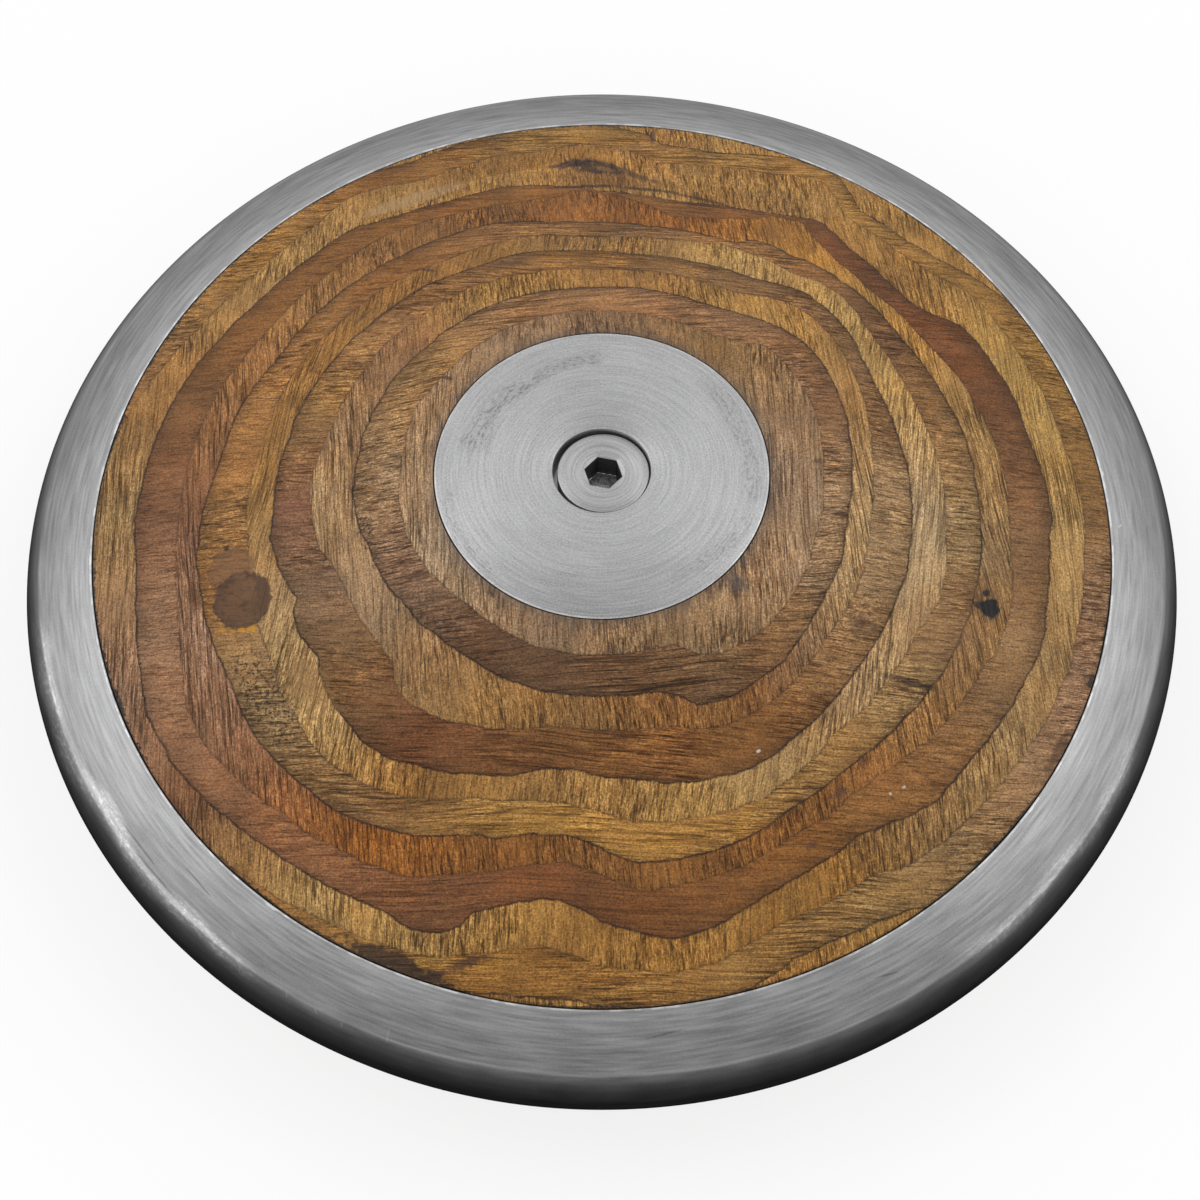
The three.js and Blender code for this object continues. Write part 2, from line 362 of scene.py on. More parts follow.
@dataclass(frozen=True)
class TurnedSteel(Finish):
    """Steel as a lathe leaves it, with fine rings round the axis."""

    light: float = 0.44  # reflectance at the light radius
    dark: float = 0.44
    light_radius: float = 0.0  # where it is lightest, and from where it is darkest
    dark_radius: float = 1.0
    blueness: float = 1.01
    edge_shade: Table = ()  # painted shade: the share of its light that the rounded edge keeps, at heights over the equator
    edge_shade_metal: float = 0.45  # share of the light from which it is wholly metallic
    roughness: float = 0.36
    ring_width: float = 0.24
    ring_contrast: float = 0.8
    ring_depth: float = 0.02
    ring_slant: float = 0.7  # how fast the rings change with height
    ring_arcs: tuple[float, float] = (0.14, 0.05)  # how soon fine and coarse rings break off
    coarse_share: float = 0.18
    grain: float = 0.3
    grain_scale: float = 3.8
    cloud: float = 0.12
    cloud_scale: float = 0.11
    anisotropy: float = 0.6
    anisotropy_turn: float = 0.25  # lays the highlights across the rings
    # worn smears, and bands of painted highlight
    scuffs_and_sheens: tuple["Scuff", ...] = ()
    arc_roughness: float = 0.12
    arc_relief: float = 1.5
    socket: Point | None = None  # radius, height of its mouth and its floor
    # how strongly painted shade darkens the socket's walls, and painted light lightens its floor
    socket_shade: float = 0.86
    socket_shade_roughness: float = 0.2
    lip: tuple[float, float] | None = None  # radii between which a bright lip runs: worn in patches, and lightened as a painted highlight
    lip_highlight_gain: float = 0.9
    marks: tuple["Mark", ...] = ()

    def sockets(self, work: NodeWork) -> dict:
        """Works out the surface.

        Args:
            work: the node work.

        Returns:
            What its sockets get.
        """
        rings = self._rings(work)
        cloud = (work.noise(self.cloud_scale, 2.0) - 0.5) * self.cloud
        grit = work.noise(self.grain_scale, 1.0) - 0.5
        # Lighter towards the light radius and darker towards the dark radius.
        towards_light = work.step(work.radius, self.dark_radius, self.light_radius)
        grey = work.between(towards_light, self.dark, self.light)
        grey = grey * (1.0 + rings * self.ring_contrast + cloud + grit * self.grain)
        # The bright lip: patchy wear with a painted highlight.
        if self.lip:
            worn = 0.3 + work.patches(0.5, 3.0, 0.42, 0.62) * 0.7
            grey = grey * (1.0 + work.stripe(work.radius, *self.lip, 0.5) * worn * self.lip_highlight_gain)
        metallic = 1.0
        # Painted shade on the rounded edge, darkest at the equator, as if it reflected something
        # dark; the metallic falls with it.
        if self.edge_shade:
            share = self._edge_shade_share(work)
            grey = grey * share
            metallic = work.step(share, 0.0, self.edge_shade_metal)
        rough = self.roughness + cloud + rings * 0.1
        relief = rings + grit * 0.5
        # Worn smears darken the steel; arcs with a darkness below 0 lighten it as painted
        # highlights.
        for arc_mark in self.scuffs_and_sheens:
            mask = arc_mark.mask(work)
            grey = grey * (1.0 - mask * arc_mark.darkness)
            rough = rough + mask * self.arc_roughness
            relief = relief - mask * self.arc_relief
        # Painted shade on the socket's walls, and painted light on its floor.
        if self.socket:
            socket_shade = self._painted_socket_shade(work)
            grey = grey * (1.0 - socket_shade * self.socket_shade)
            rough = rough + socket_shade * self.socket_shade_roughness
        colour = work.combined(grey, grey, grey * self.blueness)
        colour, relief = lay_marks(work, self.marks, colour, relief)
        return {
            "Base Color": colour,
            "Metallic": metallic,
            "Roughness": rough,
            "Anisotropic": self.anisotropy,
            "Anisotropic Rotation": self.anisotropy_turn,
            "Specular IOR Level": 0.0,
            "Normal": work.bump(relief, self.ring_depth),
        }

    def _rings(self, work: NodeWork) -> Signal:
        """Gives the tool marks: fine and coarse arcs, each some way round the axis.

        Args:
            work: the node work.

        Returns:
            A number about 0.
        """
        x, y, z = work.xyz
        across = (work.radius + z * self.ring_slant) / self.ring_width
        short, long = self.ring_arcs
        fine = work.noise(1.0, 2.0, work.combined(across, x * short, y * short))
        coarse = work.noise(1.0, 2.0, work.combined(across * 0.26, x * long, y * long))
        return fine * (1.0 - self.coarse_share) + coarse * self.coarse_share - 0.5

    def _edge_shade_share(self, work: NodeWork) -> Signal:
        """Reads off how much of its light the rounded edge keeps under its painted shade.

        Args:
            work: the node work.

        Returns:
            The share, by the height over the equator.
        """
        tallest = self.edge_shade[-1][0]
        stops = tuple((height / tallest, share) for height, share in self.edge_shade)
        height = abs(work.xyz[2]) / tallest
        return work.node("ShaderNodeValToRGB", {"stops": stops}, {"Fac": height})

    def _painted_socket_shade(self, work: NodeWork) -> Signal:
        """Gives the painted shade in the socket.

        Args:
            work: the node work.

        Returns:
            1 on the walls, darkened as painted shade, 0 outside, and below 0 on the floor,
            lightened as painted light.
        """
        reach, mouth, floor = self.socket
        height = abs(work.xyz[2])
        deep = 1.0 - work.step(height, mouth - 0.14, mouth)
        inside = 1.0 - work.step(work.radius, reach, reach + 0.05)
        wall = work.step(height, floor + 0.01, floor + 0.08)
        mottle = work.patches(1.6, 2.0, 0.4, 0.6)
        return deep * inside * work.between(wall, mottle * 0.9 - 0.95, 1.0)


@dataclass(frozen=True)
class Scuff:
    """An arc on a turned face, full of fine nicks: a worn grey smear, or, where its darkness is
    below 0, a bright band of painted highlight.
    """

    angle: float  # degrees, the middle of the arc
    reach: float  # degrees to each side
    inner: float
    outer: float
    darkness: float = 0.3  # below 0 it lightens: a painted highlight
    speckle: float = 0.75  # share of it that comes and goes with the nicks
    stray: float = 3.0  # how far the arc wanders in and out

    def mask(self, work: NodeWork) -> Signal:
        """Gives 1 where the arc is strongest and 0 off it.

        Args:
            work: the node work.

        Returns:
            The mask.
        """
        heading = math.radians(self.angle)
        towards = (math.cos(heading), math.sin(heading), 0.0)
        level = work.vector("DOT_PRODUCT", work.place, towards, output="Value") / work.radius
        edge = math.cos(math.radians(self.reach))
        arc = work.step(level, edge, edge + (1.0 - edge) * 0.6)
        strayed = work.radius + (work.noise(0.12) - 0.5) * self.stray
        x, y, _ = work.xyz
        across = work.combined(work.radius * 3.0, x * 1.1, y * 1.1)
        nicked = 1.0 - self.speckle + work.patches(1.0, 2.0, 0.5, 0.64, across) * self.speckle
        return arc * work.stripe(strayed, self.inner, self.outer, 0.2) * nicked


@dataclass(frozen=True)
class RolledSteel(Finish):
    """Dull sheet steel, for pieces that are never seen in use."""

    grey: float = 0.3
    blueness: float = 1.03
    roughness: float = 0.5
    streak_scale: Point = (0.3, 3.0, 3.0)

    def sockets(self, work: NodeWork) -> dict:
        """Works out the surface.

        Args:
            work: the node work.

        Returns:
            What its sockets get.
        """
        streaks = work.noise(1.0, 2.0, work.vector("MULTIPLY", work.place, self.streak_scale))
        grey = self.grey * (0.7 + streaks * 0.6)
        return {
            "Base Color": work.combined(grey, grey, grey * self.blueness),
            "Metallic": 1.0,
            "Roughness": self.roughness + streaks * 0.1,
            "Normal": work.bump(streaks, 0.01),
        }


@dataclass(frozen=True)
class PlainBeech(Finish):
    """Turned beech, with its grain along the dowel."""

    light: Colour = shade(208, 172, 128)
    dark: Colour = shade(170, 128, 86)
    roughness: float = 0.7
    grain_scale: Point = (2.4, 2.4, 0.25)

    def sockets(self, work: NodeWork) -> dict:
        """Works out the surface.

        Args:
            work: the node work.

        Returns:
            What its sockets get.
        """
        grain = work.noise(1.0, 2.0, work.vector("MULTIPLY", work.place, self.grain_scale))
        return {
            "Base Color": work.blend(work.step(grain, 0.38, 0.62), self.dark, self.light),
            "Roughness": self.roughness + grain * 0.1,
            "Normal": work.bump(grain, 0.03),
        }


@dataclass(frozen=True)
class Mark:
    """A knot, stain, crack or nick, placed on the coned face."""

    angle: float  # degrees round the disc, from +X towards +Y
    share: float  # hundredths of the way from the plate's edge to the wood's edge
    half_length: float
    half_width: float
    tone: Tone
    strength: float = 0.8
    softness: float = 0.3
    turn: float = 0.0  # degrees from round the disc towards the rim
    dent: float = 0.0
    raggedness: float = 0.5

    def centre(self) -> Vector:
        """Gives its middle.

        Returns:
            The place, in millimetres, seen from above.
        """
        radius = share_radius(self.share)
        angle = math.radians(self.angle)
        return Vector((radius * math.cos(angle), radius * math.sin(angle), 0.0))

    def heading(self) -> float:
        """Gives the direction of its length, in radians from +X."""
        return math.radians(self.angle + 90 - self.turn)

    def mask(self, work: NodeWork, ragged: Signal) -> Signal:
        """Gives 1 on the mark and 0 off it.

        Args:
            work: the node work.
            ragged: a number about 0 that breaks its outline.

        Returns:
            The mask.
        """
        inputs = {
            "Vector": work.place,
            "Location": self.centre(),
            "Rotation": (0.0, 0.0, self.heading()),
            "Scale": (self.half_length, self.half_width, 1 / WELD),
        }
        local = work.node("ShaderNodeMapping", {"vector_type": "TEXTURE"}, inputs)
        far = work.vector("LENGTH", local, output="Value") + ragged * self.raggedness
        return (1.0 - work.step(far, 1.0 - self.softness, 1.0 + self.softness)) * self.strength


def lay_marks(
    work: NodeWork, marks: tuple[Mark, ...], colour: Signal, relief: Signal
) -> tuple[Signal, Signal]:
    """Lays marks over a surface, one after another.

    Args:
        work: the node work.
        marks: the marks, lowest first.
        colour: the surface's colour without them.
        relief: the surface's relief without them.

    Returns:
        The colour and the relief with the marks.
    """
    if not marks:
        return colour, relief
    ragged = work.noise(0.8, 2.0) * 2.0 - 1.0
    for mark in marks:
        mask = mark.mask(work, ragged)
        colour = work.blend(mask, colour, mark.tone.value)
        relief = relief - mask * mark.dent
    return colour, relief


@dataclass(frozen=True)
class Cut:
    """What the laminate's finish knows about a point of the cut face."""

    ply: Signal  # the number of its ply, from 0 at the plate
    across_grain: Signal  # 1 where the ply's grain runs along X, and 0 where along Y
    share: Signal  # how far it lies across its ply, from 0 at the plate's side to 1
    width: Signal  # how wide the ply shows there, in millimetres


@dataclass(frozen=True)
class Grain:
    """The fibres at a point, each part from 0 to 1."""

    streaks: Signal
    crevices: Signal  # the dark lines and pores between the fibres
    figure: Signal  # broad, soft bands
    grit: Signal


@dataclass(frozen=True)
class OiledLaminate(Finish):
    """Cross-laminated wood cut at a slant, so that each ply shows as a band with its own grain.

    The mesh carries where each point lies in the stack of plies, and the tones of the plies.
    """

    marks: tuple[Mark, ...] = ()
    pitted: tuple[Mark, ...] = ()
    roughness: float = 0.52
    gloss: float = 0.25
    relief_depth: float = 0.2
    streak_width: float = 0.17
    streak_length_share: float = 28.0  # how many times longer than wide
    tick_length_share: float = 5.0  # the same for torn, short fibres
    fibre_mix: Point = (0.46, 0.2, 0.34)  # fine, middling and torn fibres in a streak
    fibre_dive: float = 0.5  # how fast the fibres change with the depth of the cut
    wander: float = 2.4  # how far a streak strays sideways
    wander_scale: float = 0.045
    lean: float = 0.3  # how far a ply's grain may run off its axis, as a slope
    calm_ply: int = 7  # its fibres hardly show
    grit_scale: float = 3.5
    grit_light: tuple[float, float] = (0.17, 2.1)  # what grit of 0 and of 1 leaves of the light
    crevice_darkness: float = 0.68
    deep_tint: Colour = (0.53, 0.45, 0.37)
    bright_tint: Colour = (1.46, 1.56, 1.68)
    bare_warmth: Colour = (1.12, 1.05, 0.92)  # by the plate, where hands have worn the oil off
    oil_warmth: Colour = (1.16, 1.04, 0.62)  # by the rim
    blotch_light: tuple[float, float] = (0.82, 1.16)
    glue_width: float = 0.26
    glue_stray: tuple[float, float] = (0.8, 0.42)  # of its slow bends and of its torn edge
    plate_radius: float = 25.2
    wood_radius: float = 78.7
    stain_reach: float = 2.6  # how far the metal has greyed the wood round the plate

    def sockets(self, work: NodeWork) -> dict:
        """Works out the surface.

        Args:
            work: the node work.

        Returns:
            What its sockets get.
        """
        cut = self._read_cut(work)
        grain = self._grain(work, cut)
        colour = self._streaked(work, self._tone(work, cut), grain)
        glue = self._glue(work, cut)
        colour = work.blend(glue * 0.9, colour, Tone.LACQUER.value)
        colour = self._edges(work, colour)
        relief = grain.streaks * 0.5 + grain.figure * 0.3 + grain.grit * 0.9
        relief = relief - grain.crevices * 0.9 - glue * 0.9
        if self.pitted:
            colour, relief = self._lay_pits(work, colour, relief)
        colour, relief = lay_marks(work, self.marks, colour, relief)
        return {
            "Base Color": colour,
            "Roughness": self.roughness + grain.crevices * 0.2 - grain.figure * 0.1,
            "Specular IOR Level": self.gloss,
            "Normal": work.bump(relief, self.relief_depth),
        }

    def _read_cut(self, work: NodeWork) -> Cut:
        """Reads where the point lies in the stack of plies.

        Args:
            work: the node work.

        Returns:
            What the rest of the finish needs to know of the point.
        """
        width = work.attribute("ply_width")
        bends, tears = self.glue_stray
        slow = (work.noise(0.3, 1.0) - 0.5) * bends
        torn = (work.noise(2.4, 1.0) - 0.5) * tears
        depth = work.attribute("ply_depth") + (slow + torn) / width
        ply = work.maths("FLOOR", depth)
        return Cut(ply, ply % 2.0, work.maths("FRACT", depth), width)

    def _grain(self, work: NodeWork, cut: Cut) -> Grain:
        """Draws the fibres, which run along Y in one ply and along X in the next.

        Args:
            work: the node work.
            cut: the point.

        Returns:
            The grain there.
        """
        x, y, z = work.xyz
        ply = cut.ply
        along = work.between(cut.across_grain, y, x)
        stray = work.noise(self.wander_scale, 1.0, work.combined(x, y, ply * 9.0))
        lean = work.node("ShaderNodeTexWhiteNoise", {"noise_dimensions": "1D"}, {"W": ply})
        aside = work.between(cut.across_grain, x, y)
        aside = aside + stray * self.wander + along * ((lean - 0.5) * self.lean)
        run = along / self.streak_length_share
        dive = z * self.fibre_dive
        fibre = work.combined(aside, run, dive + ply * 17.0)
        short = work.combined(aside, along / self.tick_length_share, dive * 2.0 + ply * 5.0)
        cleft = work.combined(aside, run * 0.7, dive - ply * 11.0)
        fine = work.noise(1 / self.streak_width, 1.0, fibre)
        middle = work.noise(0.45 / self.streak_width, 1.0, fibre)
        tick = work.noise(0.6 / self.streak_width, 1.0, short)
        gap = work.noise(0.25 / self.streak_width, 1.0, cleft)
        patch = work.patches(0.07, 1.0, 0.35, 0.6, work.combined(x, y, ply * 5.0))
        loud = 0.5 + work.step(abs(ply - self.calm_ply), 0.1, 0.9) * 0.5
        loud = loud * (0.4 + patch * 0.6)
        of_fine, of_middle, of_tick = self.fibre_mix
        streaks = work.step(fine * of_fine + middle * of_middle + tick * of_tick, 0.42, 0.58)
        lines = 1.0 - work.step(abs(gap - 0.5), 0.0, 0.08)
        lines = lines * work.step(middle, 0.64, 0.4) * (loud * 0.7 + 0.3)
        pores = work.step(tick, 0.57, 0.67) * (loud * 0.6 + 0.15)
        return Grain(
            streaks=(streaks - 0.5) * loud + 0.5,
            crevices=work.maths("MAXIMUM", lines, pores),
            figure=work.patches(0.13 / self.streak_width, 2.0, 0.34, 0.66, fibre),
            grit=work.noise(self.grit_scale, 1.0),
        )

    def _tone(self, work: NodeWork, cut: Cut) -> Signal:
        """Gives the plain colour of the ply, browner towards its outer side.

        Args:
            work: the node work.
            cut: the point.

        Returns:
            The colour.
        """
        lens = work.step(work.attribute("lens"), -0.05, 0.12) * (1.0 - cut.across_grain)
        along_y = work.blend(lens, work.attribute("tone_along_y", "Color"), Tone.GOLDEN.value)
        along_x = work.attribute("tone_along_x", "Color")
        colour = work.blend(cut.across_grain, along_y, along_x)
        oiled = work.step(work.radius, self.plate_radius - 3.0, self.wood_radius - 3.0)
        warmth = work.blend(oiled, self.bare_warmth, self.oil_warmth)
        colour = work.vector("MULTIPLY", colour, warmth)
        shadow = work.step(cut.share, 0.5, 1.0) * cut.across_grain * 0.26
        shadow = shadow + work.step(cut.share, 0.7, 1.0) * 0.06
        blotch = work.between(work.patches(0.13, 3.0, 0.3, 0.7), *self.blotch_light)
        redness = work.patches(0.07, 2.0, 0.35, 0.65) - 0.5
        hue = work.combined(1.0 + redness * 0.07, 1.0, 1.0 - redness * 0.12)
        return work.vector("MULTIPLY", work.scaled(colour, (1.0 - shadow) * blotch), hue)

    def _streaked(self, work: NodeWork, colour: Signal, grain: Grain) -> Signal:
        """Lays the fibres over the plain colour.

        Args:
            work: the node work.
            colour: the plain colour.
            grain: the fibres.

        Returns:
            The colour with grain.
        """
        deep = work.vector("MULTIPLY", colour, self.deep_tint)
        bright = work.vector("MULTIPLY", colour, self.bright_tint)
        colour = work.blend(grain.streaks * 0.86 + grain.figure * 0.14, deep, bright)
        light = work.between(grain.grit, *self.grit_light)
        return work.scaled(colour, (1.0 - grain.crevices * self.crevice_darkness) * light)

    def _glue(self, work: NodeWork, cut: Cut) -> Signal:
        """Gives the glue lines: thin and broken, and darkest outside a ply with its grain along X.

        Args:
            work: the node work.
            cut: the point.

        Returns:
            The strength of the line, from 0 to 1.
        """
        gap = (0.5 - abs(cut.share - 0.5)) * cut.width
        line = 1.0 - work.step(gap, 0.0, self.glue_width)
        worn = work.patches(0.45, 3.0, 0.38, 0.6)
        heavy = 1.0 - abs(cut.across_grain - work.step(cut.share, 0.45, 0.55))
        return line * (0.2 + worn * 0.3 + heavy * 0.5)

    def _edges(self, work: NodeWork, colour: Signal) -> Signal:
        """Greys the wood round the plate, and darkens its ragged last hair's breadth by the rim
        with painted shade.

        Args:
            work: the node work.
            colour: the colour away from the edges.

        Returns:
            The colour with the stain and the seam.
        """
        worn = work.radius + work.noise(0.7, 2.0) * 1.4 - 0.7
        stain = 1.0 - work.step(worn, self.plate_radius - 0.6, self.plate_radius + self.stain_reach)
        colour = work.blend(stain * 0.62, colour, Tone.SLATE.value)
        # Painted shade in the seam against the rim, along the wood's frayed edge.
        frayed = work.radius + work.patches(1.3, 2.0, 0.45, 0.75) * 0.5
        seam = work.step(frayed, self.wood_radius - 0.3, self.wood_radius - 0.02)
        seam = seam * (0.35 + work.patches(0.06, 0.0, 0.4, 0.6) * 0.55)
        return work.blend(seam, colour, Tone.PITCH.value)

    def _lay_pits(
        self, work: NodeWork, colour: Signal, relief: Signal
    ) -> tuple[Signal, Signal]:
        """Lays small torn pits over the pitted places, near black as painted shade, with pale
        specks among them: torn fibres with painted glints.

        Args:
            work: the node work.
            colour: the colour without pits.
            relief: the relief without pits.

        Returns:
            The colour and the relief with the pits.
        """
        ragged = work.noise(0.4, 1.0) * 2.0 - 1.0
        torn = work.noise(1.9, 1.5)
        where = sum(area.mask(work, ragged) for area in self.pitted)
        # The pits are painted shade; the pale specks are painted glints on torn fibres.
        pits = work.step(torn, 0.55, 0.64) * where
        colour = work.blend(pits * 0.85, colour, Tone.PITCH.value)
        glints = work.step(torn, 0.34, 0.28) * where
        return work.blend(glints * 0.3, colour, Tone.CHALK.value), relief - pits * 1.4


# ---- Turned and built shapes ------------------------------------------------------------------


CORNER_STEPS = 3  # segments of a broken corner


@dataclass(frozen=True)
class Corner:
    """A corner of a turned outline, in millimetres, and how far back it is broken."""

    radius: float
    height: float
    broken: float = 0.0


def points_of(items: list) -> list:
    """Picks the points out of what an operator gives back."""
    return [item for item in items if isinstance(item, bmesh.types.BMVert)]


def edges_of(items: list) -> list:
    """Picks the edges out of what an operator gives back, each once."""
    return list(dict.fromkeys(item for item in items if isinstance(item, bmesh.types.BMEdge)))


def edges_at(points: list) -> list:
    """Gives the edges that meet at the given points, each once."""
    return list(dict.fromkeys(edge for point in points for edge in point.link_edges))


def soften(mesh: bmesh.types.BMesh, items: list, size: float, segments: int) -> None:
    """Rounds corners of an outline, or edges of a shape.

    Args:
        mesh: the mesh.
        items: the corners or the edges.
        size: how far back they are broken.
        segments: how many steps the rounding has.
    """
    bmesh.ops.bevel(
        mesh,
        geom=items,
        offset=size,
        affect="EDGES" if edges_of(items) else "VERTICES",
        segments=segments,
        profile=0.5,
        material=-1,
    )


def draw_chain(mesh: bmesh.types.BMesh, places: Table) -> list:
    """Draws a chain of edges beside the axis.

    Args:
        mesh: the mesh to draw in.
        places: the radius and the height of each point in turn.

    Returns:
        Its points.
    """
    chain = [mesh.verts.new((radius, 0.0, height)) for radius, height in places]
    for pair in zip(chain, chain[1:]):
        mesh.edges.new(pair)
    return chain


def outline(corners: tuple[Corner, ...]) -> bmesh.types.BMesh:
    """Draws a closed outline beside the axis.

    Args:
        corners: the corners in order.

    Returns:
        A mesh of the outline's edges, with its broken corners rounded.
    """
    mesh = bmesh.new()
    points = draw_chain(mesh, tuple((corner.radius, corner.height) for corner in corners))
    mesh.edges.new((points[-1], points[0]))
    for point, corner in zip(points, corners):
        if corner.broken:
            soften(mesh, [point], corner.broken, CORNER_STEPS)
    return mesh


def turn(mesh: bmesh.types.BMesh, steps: int) -> None:
    """Turns an outline's edges once round the axis, into a closed skin.

    Args:
        mesh: the outline.
        steps: how many steps the full turn has.
    """
    bmesh.ops.spin(
        mesh,
        geom=mesh.verts[:] + mesh.edges[:],
        cent=CENTRE,
        axis=AXIS,
        angle=FULL_TURN,
        steps=steps,
        use_merge=True,
    )


def flip_over(mesh: bmesh.types.BMesh) -> None:
    """Turns a piece over about the X axis, so that an upper piece becomes a lower one."""
    bmesh.ops.rotate(mesh, cent=CENTRE, matrix=Matrix.Rotation(math.pi, 3, "X"), verts=mesh.verts)


@dataclass(frozen=True)
class Place:
    """What a finished piece is called, what it stands for and what it is made of."""

    name: str
    node: str
    slot: str


def new_object(name: str, data: bpy.types.ID) -> bpy.types.Object:
    """Puts a mesh, a lamp or a camera in the scene.

    Args:
        name: the object's name.
        data: what it shows.

    Returns:
        The object, at the origin.
    """
    made = bpy.data.objects.new(name, data)
    bpy.context.scene.collection.objects.link(made)
    return made


def new_mesh(name: str, mesh: bmesh.types.BMesh, material: bpy.types.Material) -> bpy.types.Mesh:
    """Makes mesh data of a shape, which is used up.

    Args:
        name: the data's name.
        mesh: the shape, in metres.
        material: its finish.

    Returns:
        The data.
    """
    data = bpy.data.meshes.new(name)
    mesh.to_mesh(data)
    mesh.free()
    data.materials.append(material)
    return data


def hand_over(
    mesh: bmesh.types.BMesh, place: Place, material: bpy.types.Material
) -> bpy.types.Object:
    """Makes a piece of a mesh in millimetres, in place of its CAD node.

    Args:
        mesh: the shape, which is used up.
        place: the piece's name, node and slot.
        material: its finish.

    Returns:
        The piece.
    """
    bmesh.ops.remove_doubles(mesh, verts=mesh.verts, dist=WELD)
    bmesh.ops.recalc_face_normals(mesh, faces=mesh.faces)
    bmesh.ops.scale(mesh, vec=Vector((MILLIMETRE,) * 3), verts=mesh.verts)
    data = new_mesh(place.name, mesh, material)
    data.shade_smooth()
    data.set_sharp_from_angle(angle=SHARP_EDGE)
    piece = new_object(place.name, data)
    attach(piece, "root")
    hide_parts(place.node)
    LOG.info("%s stands for %s, %d faces", place.name, place.node, len(data.polygons))
    return piece


@dataclass
class Rim:
    """The turned steel ring, with the tongue that both wooden sides close over."""

    outer_radius: float = 90.5
    inner_radius: float = 78.85
    inner_height: float = 7.533
    crease_radius: float = 87.3
    crease_height: float = 5.688
    tongue_radius: float = 74.85
    tongue_height: float = 1.0
    lip: float = 0.22
    crease_softness: float = 0.5
    break_steps: int = 4
    edge_steps: int = 40
    steps: int = 360

    def build(self, material: bpy.types.Material) -> bpy.types.Object:
        """Builds the rim.

        Args:
            material: its finish.

        Returns:
            The piece.
        """
        mesh = bmesh.new()
        upper = (
            (self.tongue_radius, self.tongue_height),
            (self.inner_radius, self.tongue_height),
            (self.inner_radius, self.inner_height),
            (self.crease_radius, self.crease_height),
        )
        *_, lip, crease = draw_chain(mesh, upper)
        soften(mesh, [lip], self.lip, self.break_steps)
        self._round_edge(mesh, crease)
        doubled = bmesh.ops.duplicate(mesh, geom=mesh.verts[:] + mesh.edges[:])["geom"]
        bmesh.ops.scale(mesh, vec=Vector((1.0, 1.0, -1.0)), verts=points_of(doubled))
        bmesh.ops.remove_doubles(mesh, verts=mesh.verts, dist=WELD)
        mesh.edges.new([point for point in mesh.verts if len(point.link_edges) == 1])
        turn(mesh, self.steps)
        return hand_over(mesh, Place("turned_rim", "rim", "rim_steel"), material)

    def _round_edge(self, mesh: bmesh.types.BMesh, crease: bmesh.types.BMVert) -> None:
        """Sweeps the outline from the crease down to the equator, where it stands upright.

        Args:
            mesh: the outline so far.
            crease: its last point.
        """
        inset = self.outer_radius - self.crease_radius
        arc = (inset**2 + self.crease_height**2) / (2 * inset)
        bmesh.ops.spin(
            mesh,
            geom=[crease],
            cent=(self.outer_radius - arc, 0.0, 0.0),
            axis=(0.0, 1.0, 0.0),
            angle=math.asin(self.crease_height / arc),
            steps=self.edge_steps,
        )
        soften(mesh, [crease], self.crease_softness, self.break_steps)


@dataclass
class CentrePlate:
    """A turned centre plate, let in flush with the wood, with a hub below it."""

    radius: float = 25.2
    face_height: float = 19.25
    seat_height: float = 16.75
    hub_radius: float = 12.0
    hub_foot: float = 12.75
    recess_radius: float = 7.4
    recess_floor: float = 14.85
    screw_hole: float = 4.4  # radius in the upper plate
    barrel_hole: float = 5.65  # radius in the lower plate
    edge_break: float = 0.18
    recess_break: float = 0.22
    hub_break: float = 0.3
    hole_break: float = 0.2
    steps: int = 256

    def build(
        self, place: Place, material: bpy.types.Material, lower: bool = False
    ) -> bpy.types.Object:
        """Builds a plate.

        Args:
            place: the piece's name, node and slot.
            material: its finish.
            lower: whether it is the one below.

        Returns:
            The piece.
        """
        hole = self.barrel_hole if lower else self.screw_hole
        corners = (
            Corner(hole, self.hub_foot),
            Corner(self.hub_radius, self.hub_foot, self.hub_break),
            Corner(self.hub_radius, self.seat_height),
            Corner(self.radius, self.seat_height),
            Corner(self.radius, self.face_height, self.edge_break),
            Corner(self.recess_radius, self.face_height, self.recess_break),
            Corner(self.recess_radius, self.recess_floor),
            Corner(hole, self.recess_floor, self.hole_break),
        )
        mesh = outline(corners)
        turn(mesh, self.steps)
        if lower:
            flip_over(mesh)
        return hand_over(mesh, place, material)
